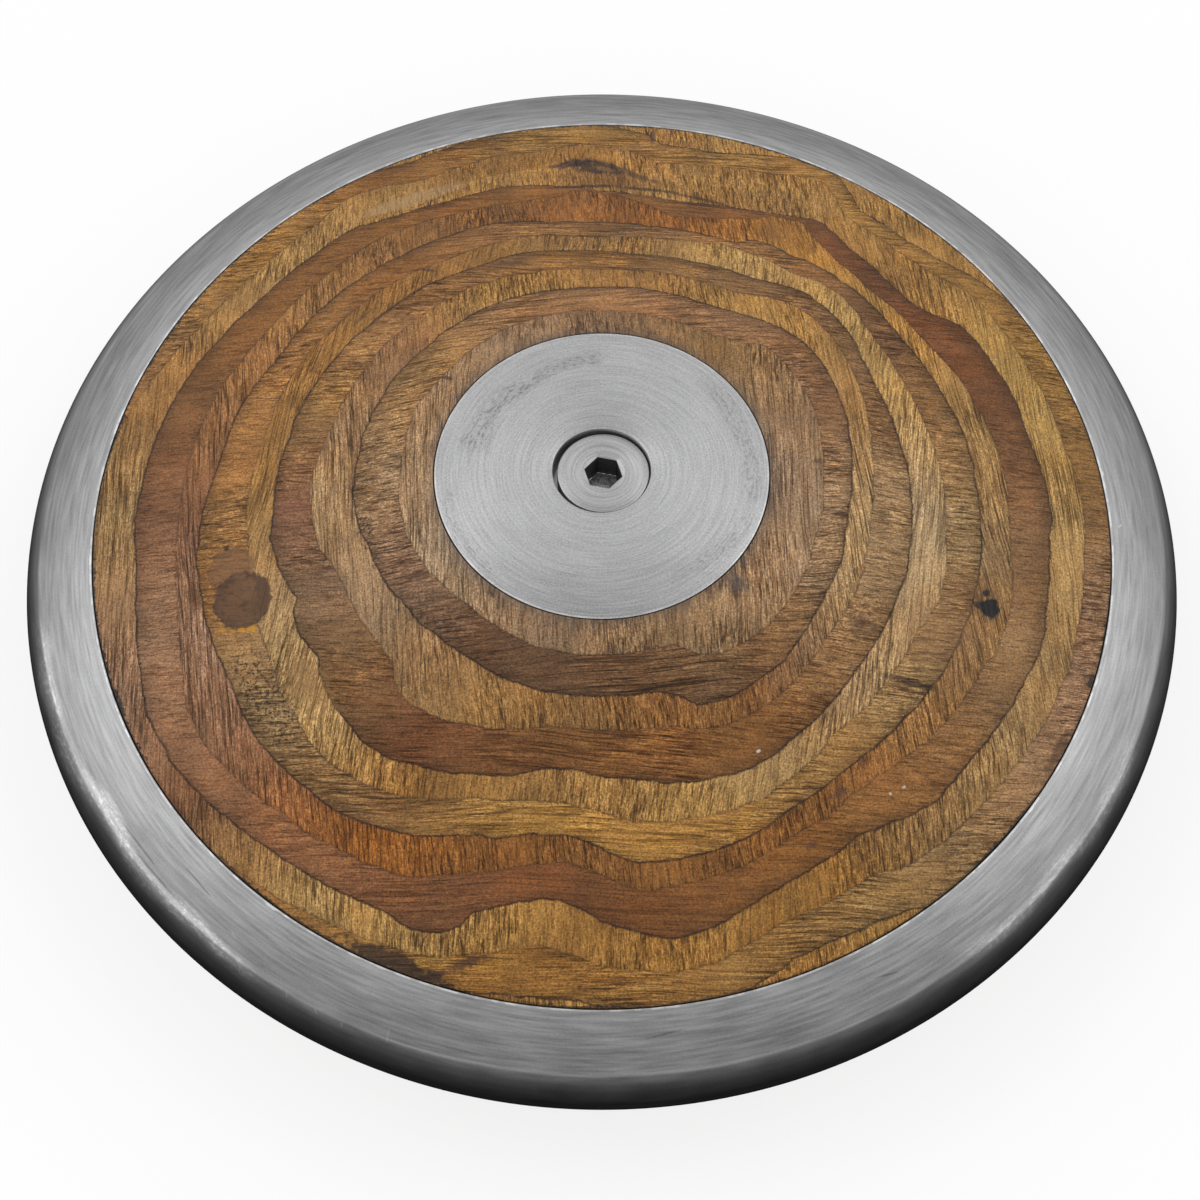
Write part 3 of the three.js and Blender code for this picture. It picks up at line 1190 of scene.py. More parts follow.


# Where each glue line runs on the upper face, from the plate outwards: pairs of an angle in
# degrees and a share, in hundredths, of the way from the plate's edge to the wood's edge.
# They were read, point by point, off an unwrapped view of the photo with a ruled grid.
GLUE_LINE_SHARES = (
    (
        (-180, 10), (-170, 10.3), (-160, 10.7), (-150, 10), (-140, 9.3), (-130, 8.5), (-120, 9),
        (-110, 10), (-75, 10), (-70, 10.5), (-67, 12.5), (-65, 15), (-62, 17), (-60, 17.5),
        (-50, 18.5), (-40, 18), (-30, 17), (-20, 16), (0, 16), (10, 17), (20, 18.7), (30, 19.5),
        (40, 20), (45, 18.8), (48, 15), (50, 14), (55, 11.5), (60, 11), (70, 10.3), (80, 9.8),
        (90, 9.8), (100, 10.5), (110, 11), (120, 10.8), (130, 10.5), (140, 10), (150, 10.3),
        (155, 11), (160, 10.8), (170, 10),
    ),
    (
        (-180, 23), (-175, 23.3), (-170, 22.8), (-160, 21.5), (-150, 21), (-140, 20.5),
        (-130, 19.8), (-120, 20), (-110, 21), (-90, 21), (-80, 21), (-77, 21.5), (-75, 22.5),
        (-72, 25), (-70, 27.5), (-65, 28.5), (-60, 28.5), (-50, 28), (-45, 27), (-40, 26),
        (-35, 25), (-30, 24.5), (-20, 24), (-15, 23.2), (-10, 23), (0, 24), (10, 25.5),
        (15, 26.5), (20, 27.5), (25, 28.7), (30, 29.5), (35, 30), (40, 30), (45, 28.5), (50, 26),
        (55, 24), (60, 22.3), (65, 21.5), (70, 21.3), (80, 20.8), (90, 20.3), (100, 20.8),
        (110, 21.7), (120, 22), (140, 22), (150, 22.7), (160, 23),
    ),
    (
        (-180, 36), (-175, 35.5), (-170, 35), (-165, 34.5), (-160, 32), (-155, 31.5),
        (-150, 31.8), (-140, 32), (-135, 33), (-132, 36), (-130, 37.5), (-127, 38.7),
        (-125, 38.5), (-120, 37.7), (-115, 35.5), (-110, 34), (-105, 32), (-100, 30),
        (-95, 29.5), (-90, 30), (-80, 30.3), (-75, 31.5), (-72, 33), (-70, 34), (-65, 34.8),
        (-60, 35), (-50, 34), (-45, 32.5), (-40, 31.5), (-30, 31.5), (-20, 30.5), (-10, 29.5),
        (0, 30.2), (5, 31), (10, 32), (15, 33), (20, 34.5), (25, 36), (30, 37.5), (35, 38.5),
        (40, 39.5), (45, 39.5), (48, 39), (50, 38), (53, 36), (55, 34), (58, 32), (60, 31.3),
        (65, 30), (70, 30), (80, 29.3), (85, 28.5), (90, 28.3), (100, 29.5), (110, 30.8),
        (120, 33), (125, 32.5), (140, 33), (160, 33.3), (165, 33), (170, 34), (175, 35.3),
    ),
    (
        (-180, 46.5), (-175, 46.5), (-170, 47.8), (-165, 47), (-160, 45.5), (-157, 44.5),
        (-155, 47), (-150, 48), (-145, 47), (-143, 49), (-140, 50.5), (-135, 52), (-130, 53.5),
        (-125, 53.5), (-120, 51.3), (-115, 49.3), (-110, 47), (-105, 45), (-102, 42.5),
        (-100, 41), (-95, 40.7), (-90, 42), (-85, 43), (-80, 45), (-75, 46.3), (-70, 47.2),
        (-65, 47.8), (-60, 47), (-50, 45), (-40, 43), (-35, 42.5), (-20, 42.3), (-10, 41.5),
        (0, 41), (10, 40.3), (20, 40.5), (25, 41), (30, 42), (33, 43.5), (35, 44.5), (40, 45.3),
        (45, 46), (48, 46), (50, 45), (53, 43), (55, 41.5), (60, 39.5), (65, 38.5), (70, 37.5),
        (80, 36.5), (85, 36), (90, 36.3), (95, 37), (100, 38.5), (105, 39.8), (110, 40.3),
        (115, 40), (120, 40.5), (125, 42), (140, 42.7), (145, 43.7), (150, 44), (160, 45),
        (170, 45.2), (175, 45.7),
    ),
    (
        (-180, 54), (-170, 54), (-165, 55), (-155, 57), (-150, 58), (-145, 60), (-140, 61),
        (-135, 63), (-130, 63), (-125, 62), (-120, 60), (-115, 57), (-110, 53), (-105, 51),
        (-100, 49.5), (-95, 49.5), (-90, 51), (-87, 53), (-85, 54), (-80, 55), (-70, 56),
        (-65, 56), (-60, 54.3), (-55, 53), (-52, 51), (-45, 51.3), (-40, 51), (-27, 50.8),
        (-25, 52), (-20, 53), (-15, 52.8), (-10, 51.5), (0, 50.7), (10, 50.2), (20, 49.5),
        (30, 50), (35, 51), (40, 53), (43, 53.8), (48, 53), (50, 52), (52, 50.5), (55, 50),
        (68, 49.5), (70, 47.5), (75, 45.3), (80, 44.5), (90, 43.5), (98, 44.5), (100, 46),
        (105, 47.5), (110, 47.5), (120, 48), (125, 49.5), (130, 50.3), (140, 51.3), (150, 53.2),
        (160, 53), (170, 52.8),
    ),
    (
        (-180, 66.5), (-175, 68), (-170, 69.5), (-160, 70), (-150, 70), (-145, 71.5),
        (-140, 72.5), (-130, 72), (-125, 71.5), (-120, 69.5), (-115, 67), (-110, 63), (-107, 61),
        (-105, 61.5), (-100, 58), (-95, 57.5), (-92, 59), (-90, 60.5), (-87, 63), (-85, 64.5),
        (-80, 65), (-70, 64), (-65, 62.5), (-60, 61), (-50, 60), (-40, 61), (-30, 62), (-10, 62),
        (0, 61), (10, 61), (20, 59.5), (30, 58.5), (40, 59), (50, 58.5), (53, 58), (55, 56.5),
        (60, 56.8), (63, 55.5), (65, 51), (70, 51), (80, 50), (95, 50.3), (100, 52), (105, 55),
        (110, 57), (120, 58), (130, 59.5), (140, 60.3), (155, 61), (160, 63), (165, 64),
        (175, 64.5),
    ),
    (
        (-180, 74), (-175, 74.5), (-170, 75.5), (-165, 76.3), (-160, 78), (-155, 80.5),
        (-150, 83.5), (-145, 84.5), (-140, 83.5), (-135, 82), (-130, 81), (-120, 79),
        (-115, 77.8), (-112, 76), (-110, 73.5), (-105, 70), (-100, 66), (-95, 64.3), (-92, 65),
        (-90, 67), (-87, 70), (-85, 71.5), (-80, 71.3), (-70, 70), (-65, 68), (-60, 67.5),
        (-55, 66.5), (-50, 66.5), (-45, 67.5), (-40, 69), (-35, 70), (-27, 70.8), (-25, 72.5),
        (-15, 72.5), (-12, 71.5), (-10, 70.2), (-5, 69.8), (0, 70), (10, 69.5), (15, 68),
        (20, 67.8), (25, 66), (27, 64.8), (30, 64.3), (35, 64), (40, 63), (43, 63), (45, 63.8),
        (50, 65), (53, 66.5), (55, 68.5), (57, 71), (58, 72.5), (60, 71.5), (63, 69.5),
        (65, 65.5), (68, 62), (70, 60), (72, 58.5), (75, 57), (78, 56.3), (80, 58), (82, 60),
        (85, 62.5), (88, 64.5), (90, 65.5), (93, 67), (95, 67), (97, 64), (105, 64.5),
        (110, 65.5), (115, 66.5), (120, 68.5), (125, 70), (140, 70), (150, 70.3), (155, 71),
        (160, 73), (165, 73.5), (170, 74),
    ),
    (
        (-180, 87.7), (-175, 87.5), (-170, 87), (-165, 88.5), (-160, 90), (-155, 92.5),
        (-152, 94), (-145, 94), (-140, 93), (-135, 91), (-130, 90), (-125, 89), (-120, 88.5),
        (-115, 87.8), (-111, 89.5), (-108, 88), (-106, 85), (-105, 80.5), (-103, 78),
        (-100, 75.5), (-97, 74.2), (-95, 74), (-92, 76), (-90, 79), (-87, 81), (-85, 82.5),
        (-82, 84.5), (-80, 84), (-75, 82), (-70, 79), (-65, 77.3), (-60, 76.7), (-57, 75.7),
        (-55, 76.5), (-52, 78), (-50, 79.5), (-47, 81), (-45, 81.3), (-40, 80.7), (-35, 81.5),
        (-30, 82.3), (-25, 82.6), (-22, 83.6), (-20, 83.5), (-15, 82.3), (-10, 81.8), (-5, 81.8),
        (-2, 83), (0, 82.5), (5, 82), (10, 80.5), (15, 81.3), (20, 81), (25, 80.2), (28, 79.8),
        (30, 79), (31, 77), (33, 73.5), (35, 71), (37, 70.2), (40, 70.2), (45, 71.5), (50, 72.5),
        (53, 74.5), (55, 75.7), (57, 75.5), (58, 74.5), (60, 72.5), (62, 70.5), (64, 69.3),
        (67, 67.5), (70, 66), (73, 64.5), (75, 64), (80, 63.6), (85, 64.5), (90, 65.5), (93, 67),
        (95, 68), (97, 69), (100, 70.5), (103, 72), (105, 72.5), (110, 72.5), (115, 73.3),
        (120, 75), (125, 77.5), (127, 79.8), (130, 80), (140, 80.2), (145, 80.8), (148, 81),
        (150, 82), (155, 83.3), (158, 84.8), (160, 85), (165, 86), (170, 86.5), (175, 86.8),
    ),
    (
        (-180, 101), (-136, 101), (-135, 100.5), (-130, 99), (-125, 98), (-120, 96.5),
        (-115, 95.5), (-110, 94.5), (-107, 93.5), (-105, 91.5), (-102, 89.5), (-100, 87),
        (-97, 85.5), (-95, 86), (-92, 88), (-90, 90), (-85, 91.5), (-82, 92.5), (-80, 92),
        (-77, 91.5), (-75, 89.5), (-70, 87), (-65, 86.5), (-60, 86), (-57, 86), (-55, 88.5),
        (-52, 89.5), (-50, 89.8), (-40, 90.5), (-35, 91), (-30, 92), (-20, 92.5), (-15, 92),
        (-10, 91.8), (-5, 92.3), (0, 92.6), (5, 92), (8, 91.3), (15, 91.5), (20, 90.8), (33, 91),
        (35, 89.5), (38, 86.5), (40, 85), (43, 84), (45, 83.5), (50, 83.8), (53, 84), (55, 86),
        (57, 90), (59, 93.5), (60, 94), (62, 93), (64, 91.5), (66, 88.5), (70, 87), (75, 84),
        (80, 82), (82, 81.5), (83, 83), (85, 85.5), (87, 87.5), (90, 88.5), (93, 90), (95, 89.5),
        (100, 87.5), (105, 89), (110, 88), (115, 87), (118, 89), (120, 91), (123, 93), (125, 94),
        (127, 93), (130, 91), (132, 90), (140, 89.8), (145, 90.3), (150, 91), (155, 93),
        (160, 95), (165, 98), (170, 99.5), (175, 100.5),
    ),
    (
        (-180, 104), (-110, 104), (-105, 100), (-100, 98.5), (-93, 98.3), (-90, 99.5),
        (-85, 101), (-77, 101), (-75, 100), (-72, 97.5), (-70, 96), (-65, 95.5), (-60, 96.5),
        (-57, 98), (-55, 100), (-50, 104), (26, 104), (29, 100), (32, 98.5), (35, 96.5),
        (38, 93.5), (40, 91.5), (43, 90), (45, 89.3), (50, 89.5), (53, 89.5), (55, 93),
        (57, 96.5), (58, 98.5), (60, 100), (65, 99), (68, 96.5), (70, 94.5), (73, 92),
        (75, 91.3), (80, 91), (82, 91.3), (83, 93), (84, 95.5), (86, 96.5), (88, 98.5),
        (90, 100), (95, 101), (105, 99.5), (110, 98.8), (115, 97.5), (118, 98.5), (120, 100),
        (125, 104),
    ),
)

# The far side of a scrap of extra ply that lies on the eighth glue line.
LENS_SHARES = (
    (30.5, 0), (31, 77), (31.5, 80), (33, 80), (35, 79), (38, 78.3), (40, 78), (45, 77.8), (50, 78),
    (53, 78.5), (55, 80), (57, 82), (60, 85), (63, 84), (65, 80.5), (67, 77), (70, 73.5),
    (73, 71), (75, 70.8), (80, 70.3), (82, 70.2), (85, 74.5), (87, 77), (90, 79.5), (93, 81),
    (95, 81), (97, 78.5), (100, 79.5), (105, 79.5), (110, 79), (113, 80.5), (115, 81.5),
    (120, 82.5), (123, 83.8), (125, 83.5), (127, 79.8), (127.5, 0),
)

# The tone of each ply, from the plate outwards, as pairs of an angle in degrees and a tone.
# The choices follow mean colours of the photo, which a scratch program took over each ply in
# sectors of 20 degrees, rounded to the named tones. Most stops were later dropped or moved a few
# degrees off those sectors without a reason in the photo, so no angle here is a measured one.
# Between about -165 and -135 degrees and between about -50 and 0, the paler, greyer tones are a
# painted sheen of the lamps, not the wood's own colour.
PLY_TONES = (
    ((-175, Tone.BUFF), (-150, Tone.DRIFT), (-118, Tone.DUN), (-62, Tone.FAWN),
     (-28, Tone.ASH), (12, Tone.DUN), (52, Tone.OCHRE), (92, Tone.CLAY), (160, Tone.BUFF)),
    ((-178, Tone.BUFF), (-160, Tone.TAUPE), (-142, Tone.TAUPE), (-122, Tone.KNOT),
     (-93, Tone.UMBER), (-48, Tone.WALNUT), (-18, Tone.BUFF), (22, Tone.BRONZE),
     (110, Tone.COPPER), (144, Tone.GOLDEN)),
    ((-178, Tone.BUFF), (-145, Tone.DUN), (-112, Tone.OCHRE), (-60, Tone.RUSSET),
     (-42, Tone.CLAY), (-18, Tone.PALE), (22, Tone.GOLDEN), (58, Tone.TAWNY), (82, Tone.AMBER),
     (118, Tone.TAWNY), (140, Tone.BRONZE)),
    ((-176, Tone.ROSEWOOD), (-158, Tone.TAUPE), (-141, Tone.WALNUT), (-122, Tone.MAHOGANY),
     (-98, Tone.RUSSET), (-58, Tone.RUSSET), (-20, Tone.BUFF), (2, Tone.BUFF),
     (16, Tone.WALNUT), (46, Tone.WALNUT), (98, Tone.AMBER), (135, Tone.COPPER),
     (160, Tone.GOLDEN)),
    ((-177, Tone.GOLDEN), (-158, Tone.BUFF), (-139, Tone.PALE), (-119, Tone.AMBER),
     (-97, Tone.OCHRE), (-76, Tone.HONEY), (-48, Tone.BUFF), (-2, Tone.DRIFT), (21, Tone.HONEY),
     (66, Tone.HONEY), (84, Tone.OCHRE), (140, Tone.AMBER)),
    ((-168, Tone.COPPER), (-144, Tone.DUN), (-119, Tone.WALNUT), (-101, Tone.TAWNY),
     (-62, Tone.GOLDEN), (-40, Tone.FAWN), (-3, Tone.BUFF), (18, Tone.WALNUT),
     (38, Tone.CHESTNUT), (63, Tone.COPPER), (85, Tone.WALNUT), (104, Tone.COPPER),
     (126, Tone.RUSSET), (160, Tone.COPPER)),
    ((-178, Tone.ROSEWOOD), (-160, Tone.HEATHER), (-141, Tone.HAZEL), (-121, Tone.SIENNA),
     (-98, Tone.RUSSET), (-58, Tone.RUSSET), (-40, Tone.COPPER), (-10, Tone.DUN),
     (42, Tone.TAWNY), (78, Tone.SIENNA), (106, Tone.RUSSET), (146, Tone.COPPER)),
    ((-179, Tone.ROSEWOOD), (-161, Tone.HEATHER), (-142, Tone.HAZEL), (-98, Tone.MAHOGANY),
     (-60, Tone.RUSSET), (-21, Tone.TAUPE), (18, Tone.MAHOGANY), (50, Tone.MAHOGANY),
     (82, Tone.RUSSET), (140, Tone.RUSSET), (162, Tone.CHESTNUT)),
    ((-178, Tone.DUN), (-160, Tone.HEATHER), (-141, Tone.ROSEWOOD), (-122, Tone.SAND),
     (-99, Tone.OCHRE), (-61, Tone.AMBER), (-41, Tone.DUN), (-19, Tone.ASH), (18, Tone.HONEY),
     (42, Tone.GOLDEN), (80, Tone.GOLDEN), (101, Tone.AMBER), (139, Tone.SAND),
     (160, Tone.COPPER)),
    ((-136, Tone.BRONZE), (-112, Tone.OCHRE), (-97, Tone.AMBER), (-58, Tone.FAWN),
     (-22, Tone.HEATHER), (1, Tone.WALNUT), (22, Tone.OCHRE), (70, Tone.GOLDEN),
     (98, Tone.OCHRE), (119, Tone.RUSSET), (139, Tone.GOLDEN), (160, Tone.BRONZE)),
    ((-180, Tone.OCHRE), (60, Tone.GOLDEN), (120, Tone.GOLDEN)),
)

KNOTS = (
    Mark(-166.5, 60.0, 4.0, 3.6, Tone.KNOT, 0.5, 0.12, raggedness=0.1),
    Mark(-166.5, 60.0, 3.5, 3.1, Tone.BRONZE, 0.5, 0.2, raggedness=0.1),
    Mark(-160.8, 58.7, 4.75, 4.55, Tone.LACQUER, 0.75, 0.05, dent=0.3, raggedness=0.2),
    Mark(-161.0, 59.0, 4.45, 4.3, Tone.KNOT, 0.84, 0.08, raggedness=0.2),
    Mark(-162.4, 57.6, 2.6, 1.5, Tone.BRONZE, 0.5, 0.5, raggedness=1.7),
    Mark(-160.0, 61.4, 2.6, 1.6, Tone.CHESTNUT, 0.7, 0.4, raggedness=1.9),
    Mark(-159.0, 57.4, 2.4, 1.1, Tone.UMBER, 0.7, 0.4, raggedness=1.9),
    Mark(-157.6, 66.6, 0.8, 0.3, Tone.RESIN, 0.75, 0.3, turn=-65),
    Mark(-156.8, 64.1, 0.6, 0.25, Tone.RESIN, 0.6, 0.3, turn=-65),
    Mark(-156.3, 61.6, 0.6, 0.35, Tone.RESIN, 0.9, 0.3, turn=-65),
    Mark(-155.7, 58.8, 0.9, 0.4, Tone.RESIN, 0.95, 0.3, turn=-65),
    Mark(-142.1, 53.8, 4.4, 3.0, Tone.GOLDEN, 0.55, 0.3, raggedness=1.2),
    Mark(-170.5, 60.5, 0.5, 0.4, Tone.PITCH, 0.8, 0.4, dent=1.0),
    Mark(-111.0, 98.3, 8.0, 1.3, Tone.LACQUER, 0.85, 0.3, turn=3, dent=0.5, raggedness=0.9),
    Mark(-104.5, 93.5, 3.0, 0.6, Tone.PLUM, 0.7, 0.4, turn=-35, raggedness=0.9),
    Mark(-26.0, 57.0, 5.6, 5.2, Tone.BRONZE, 0.4, 0.5, raggedness=0.8),
    Mark(-17.3, 58.5, 3.4, 3.0, Tone.CHESTNUT, 0.5, 0.6, raggedness=0.8),
    Mark(-18.4, 66.5, 2.5, 2.1, Tone.UMBER, 0.7, 0.5, raggedness=0.8),
    Mark(-18.4, 66.9, 1.7, 1.5, Tone.PITCH, 0.97, 0.12, dent=1.0, raggedness=0.5),
    Mark(-16.5, 65.0, 0.7, 0.5, Tone.PITCH, 0.9, 0.3, turn=40, raggedness=0.8),
    Mark(-18.7, 63.2, 0.6, 0.9, Tone.PITCH, 0.85, 0.3, turn=20, raggedness=0.8),
    Mark(-35.6, 56.5, 3.9, 0.6, Tone.LACQUER, 0.75, 0.5, turn=65, dent=0.4, raggedness=0.9),
    Mark(-55.5, 64.0, 1.2, 0.7, Tone.PLUM, 0.6, 0.5),
    Mark(-50.0, 61.0, 1.0, 0.6, Tone.PLUM, 0.5, 0.5),
    Mark(-62.5, 72.0, 0.9, 0.5, Tone.PLUM, 0.5, 0.5),
    Mark(-10.0, 21.0, 0.5, 1.4, Tone.PLUM, 0.6, 0.5),
    Mark(7.5, 19.0, 0.6, 1.2, Tone.PLUM, 0.6, 0.5),
    Mark(4.5, 14.5, 0.4, 1.0, Tone.PLUM, 0.5, 0.5),
    Mark(-32.0, 36.5, 1.8, 1.8, Tone.KNOT, 0.55, 0.6),
    Mark(89.5, 72.0, 8.0, 2.6, Tone.RUSSET, 0.5, 0.5, turn=8, raggedness=0.7),
    Mark(94.5, 79.9, 3.8, 0.8, Tone.PLUM, 0.85, 0.3, turn=-11, raggedness=0.6),
    Mark(87.0, 76.4, 6.6, 0.7, Tone.KNOT, 0.7, 0.35, turn=26, raggedness=0.6),
    Mark(91.2, 77.9, 4.8, 1.6, Tone.LACQUER, 0.85, 0.4, turn=18, dent=0.4, raggedness=0.8),
    Mark(89.6, 77.0, 1.6, 0.6, Tone.COPPER, 0.6, 0.5, turn=20),
    Mark(92.0, 68.2, 5.2, 0.4, Tone.LACQUER, 0.75, 0.5),
    Mark(83.0, 67.6, 5.4, 0.4, Tone.LACQUER, 0.7, 0.5),
    Mark(74.0, 67.1, 5.2, 0.35, Tone.LACQUER, 0.6, 0.5),
    Mark(83.3, 95.5, 2.5, 0.4, Tone.PLUM, 0.7, 0.4, turn=90, dent=0.5),
    Mark(94.0, 89.5, 1.1, 0.3, Tone.PLUM, 0.7, 0.4),
    Mark(118.0, 80.0, 9.4, 1.5, Tone.PALE, 0.5, 0.25, turn=7, raggedness=0.3),
    Mark(60.5, 61.5, 2.4, 1.1, Tone.RUSSET, 0.5, 0.5, turn=60),
    Mark(109.0, 37.0, 4.0, 0.9, Tone.KNOT, 0.55, 0.6),
    Mark(124.0, 47.5, 1.3, 0.3, Tone.PLUM, 0.7, 0.4, turn=50),
    Mark(140.0, 47.0, 2.0, 0.25, Tone.PLUM, 0.6, 0.4),
    Mark(134.5, 42.3, 5.0, 0.25, Tone.PLUM, 0.5, 0.4),
    Mark(143.5, 51.5, 3.0, 0.25, Tone.PLUM, 0.5, 0.4),
    Mark(144.0, 8.3, 1.0, 0.35, Tone.PLUM, 0.7, 0.4, turn=80),
    Mark(-22.1, 99.4, 1.2, 0.5, Tone.PITCH, 0.8, 0.4, raggedness=0.9),
    Mark(-31.5, 98.6, 3.8, 0.7, Tone.PLUM, 0.6, 0.4, raggedness=0.9),
    Mark(-154.9, 99.6, 2.2, 0.5, Tone.PITCH, 0.8, 0.4, raggedness=0.9),
    Mark(-44.0, 4.6, 1.3, 1.6, Tone.SLATE, 0.75, 0.6),
    Mark(-48.0, 73.0, 0.3, 0.2, Tone.CHALK, 0.6, 0.4),
    Mark(-50.0, 72.0, 0.2, 0.2, Tone.CHALK, 0.6, 0.4),
    Mark(-63.0, 44.5, 0.3, 0.2, Tone.CHALK, 0.7, 0.4),
)

PITTED = (
    Mark(-145.2, 63.5, 8.0, 3.4, Tone.SLATE, 0.9, 0.5, raggedness=0.8),
    Mark(-163.0, 21.0, 5.0, 1.2, Tone.SLATE, 0.9, 0.5),
    Mark(-137.0, 17.0, 6.0, 2.4, Tone.SLATE, 0.5, 0.6),
    Mark(-95.0, 47.0, 6.0, 1.4, Tone.SLATE, 0.35, 0.6),
    Mark(-30.0, 36.0, 6.0, 2.0, Tone.SLATE, 0.4, 0.6),
)

# Nicks on the rim: the thin dark arcs are scratches, and the white marks are painted glints where
# the nicks catch the light.
NICKS_AND_GLINTS = (
    Mark(-119.6, 116.6, 0.4, 0.1, Tone.GLINT_WHITE, 0.1, 0.6, turn=60),
    Mark(-116.5, 116.8, 0.45, 0.1, Tone.GLINT_WHITE, 0.1, 0.6, turn=45),
    Mark(-113.8, 117.0, 0.3, 0.1, Tone.GLINT_WHITE, 0.08, 0.6, turn=70),
    Mark(-109.5, 115.4, 0.8, 0.12, Tone.GLINT_WHITE, 0.08, 0.6, turn=80),
    Mark(-127.0, 112.0, 0.8, 0.1, Tone.GLINT_WHITE, 0.12, 0.5, turn=20),
    Mark(-125.6, 100.9, 0.8, 0.2, Tone.GLINT_WHITE, 0.7, 0.5),
    Mark(-115.6, 100.6, 0.9, 0.2, Tone.GLINT_WHITE, 0.6, 0.5),
    Mark(-112.5, 100.7, 0.7, 0.2, Tone.GLINT_WHITE, 0.6, 0.5),
    Mark(-39.0, 100.8, 0.7, 0.2, Tone.GLINT_WHITE, 0.6, 0.5),
    Mark(-22.0, 100.8, 0.6, 0.2, Tone.GLINT_WHITE, 0.5, 0.5),
    Mark(4.9, 100.9, 0.5, 0.2, Tone.GLINT_WHITE, 0.7, 0.5),
    Mark(-1.9, 103.5, 0.5, 0.12, Tone.GLINT_WHITE, 0.4, 0.5, turn=50),
    Mark(-62.0, 109.0, 1.6, 0.12, Tone.SLATE, 0.6, 0.4, turn=12),
    Mark(-84.0, 107.0, 2.2, 0.12, Tone.SLATE, 0.5, 0.4, turn=-8),
    Mark(-133.0, 108.0, 3.0, 0.12, Tone.SLATE, 0.5, 0.4, turn=4),
    Mark(-140.0, 113.0, 4.0, 0.14, Tone.SLATE, 0.6, 0.4),
    Mark(-137.0, 114.6, 4.5, 0.12, Tone.SLATE, 0.6, 0.4),
)


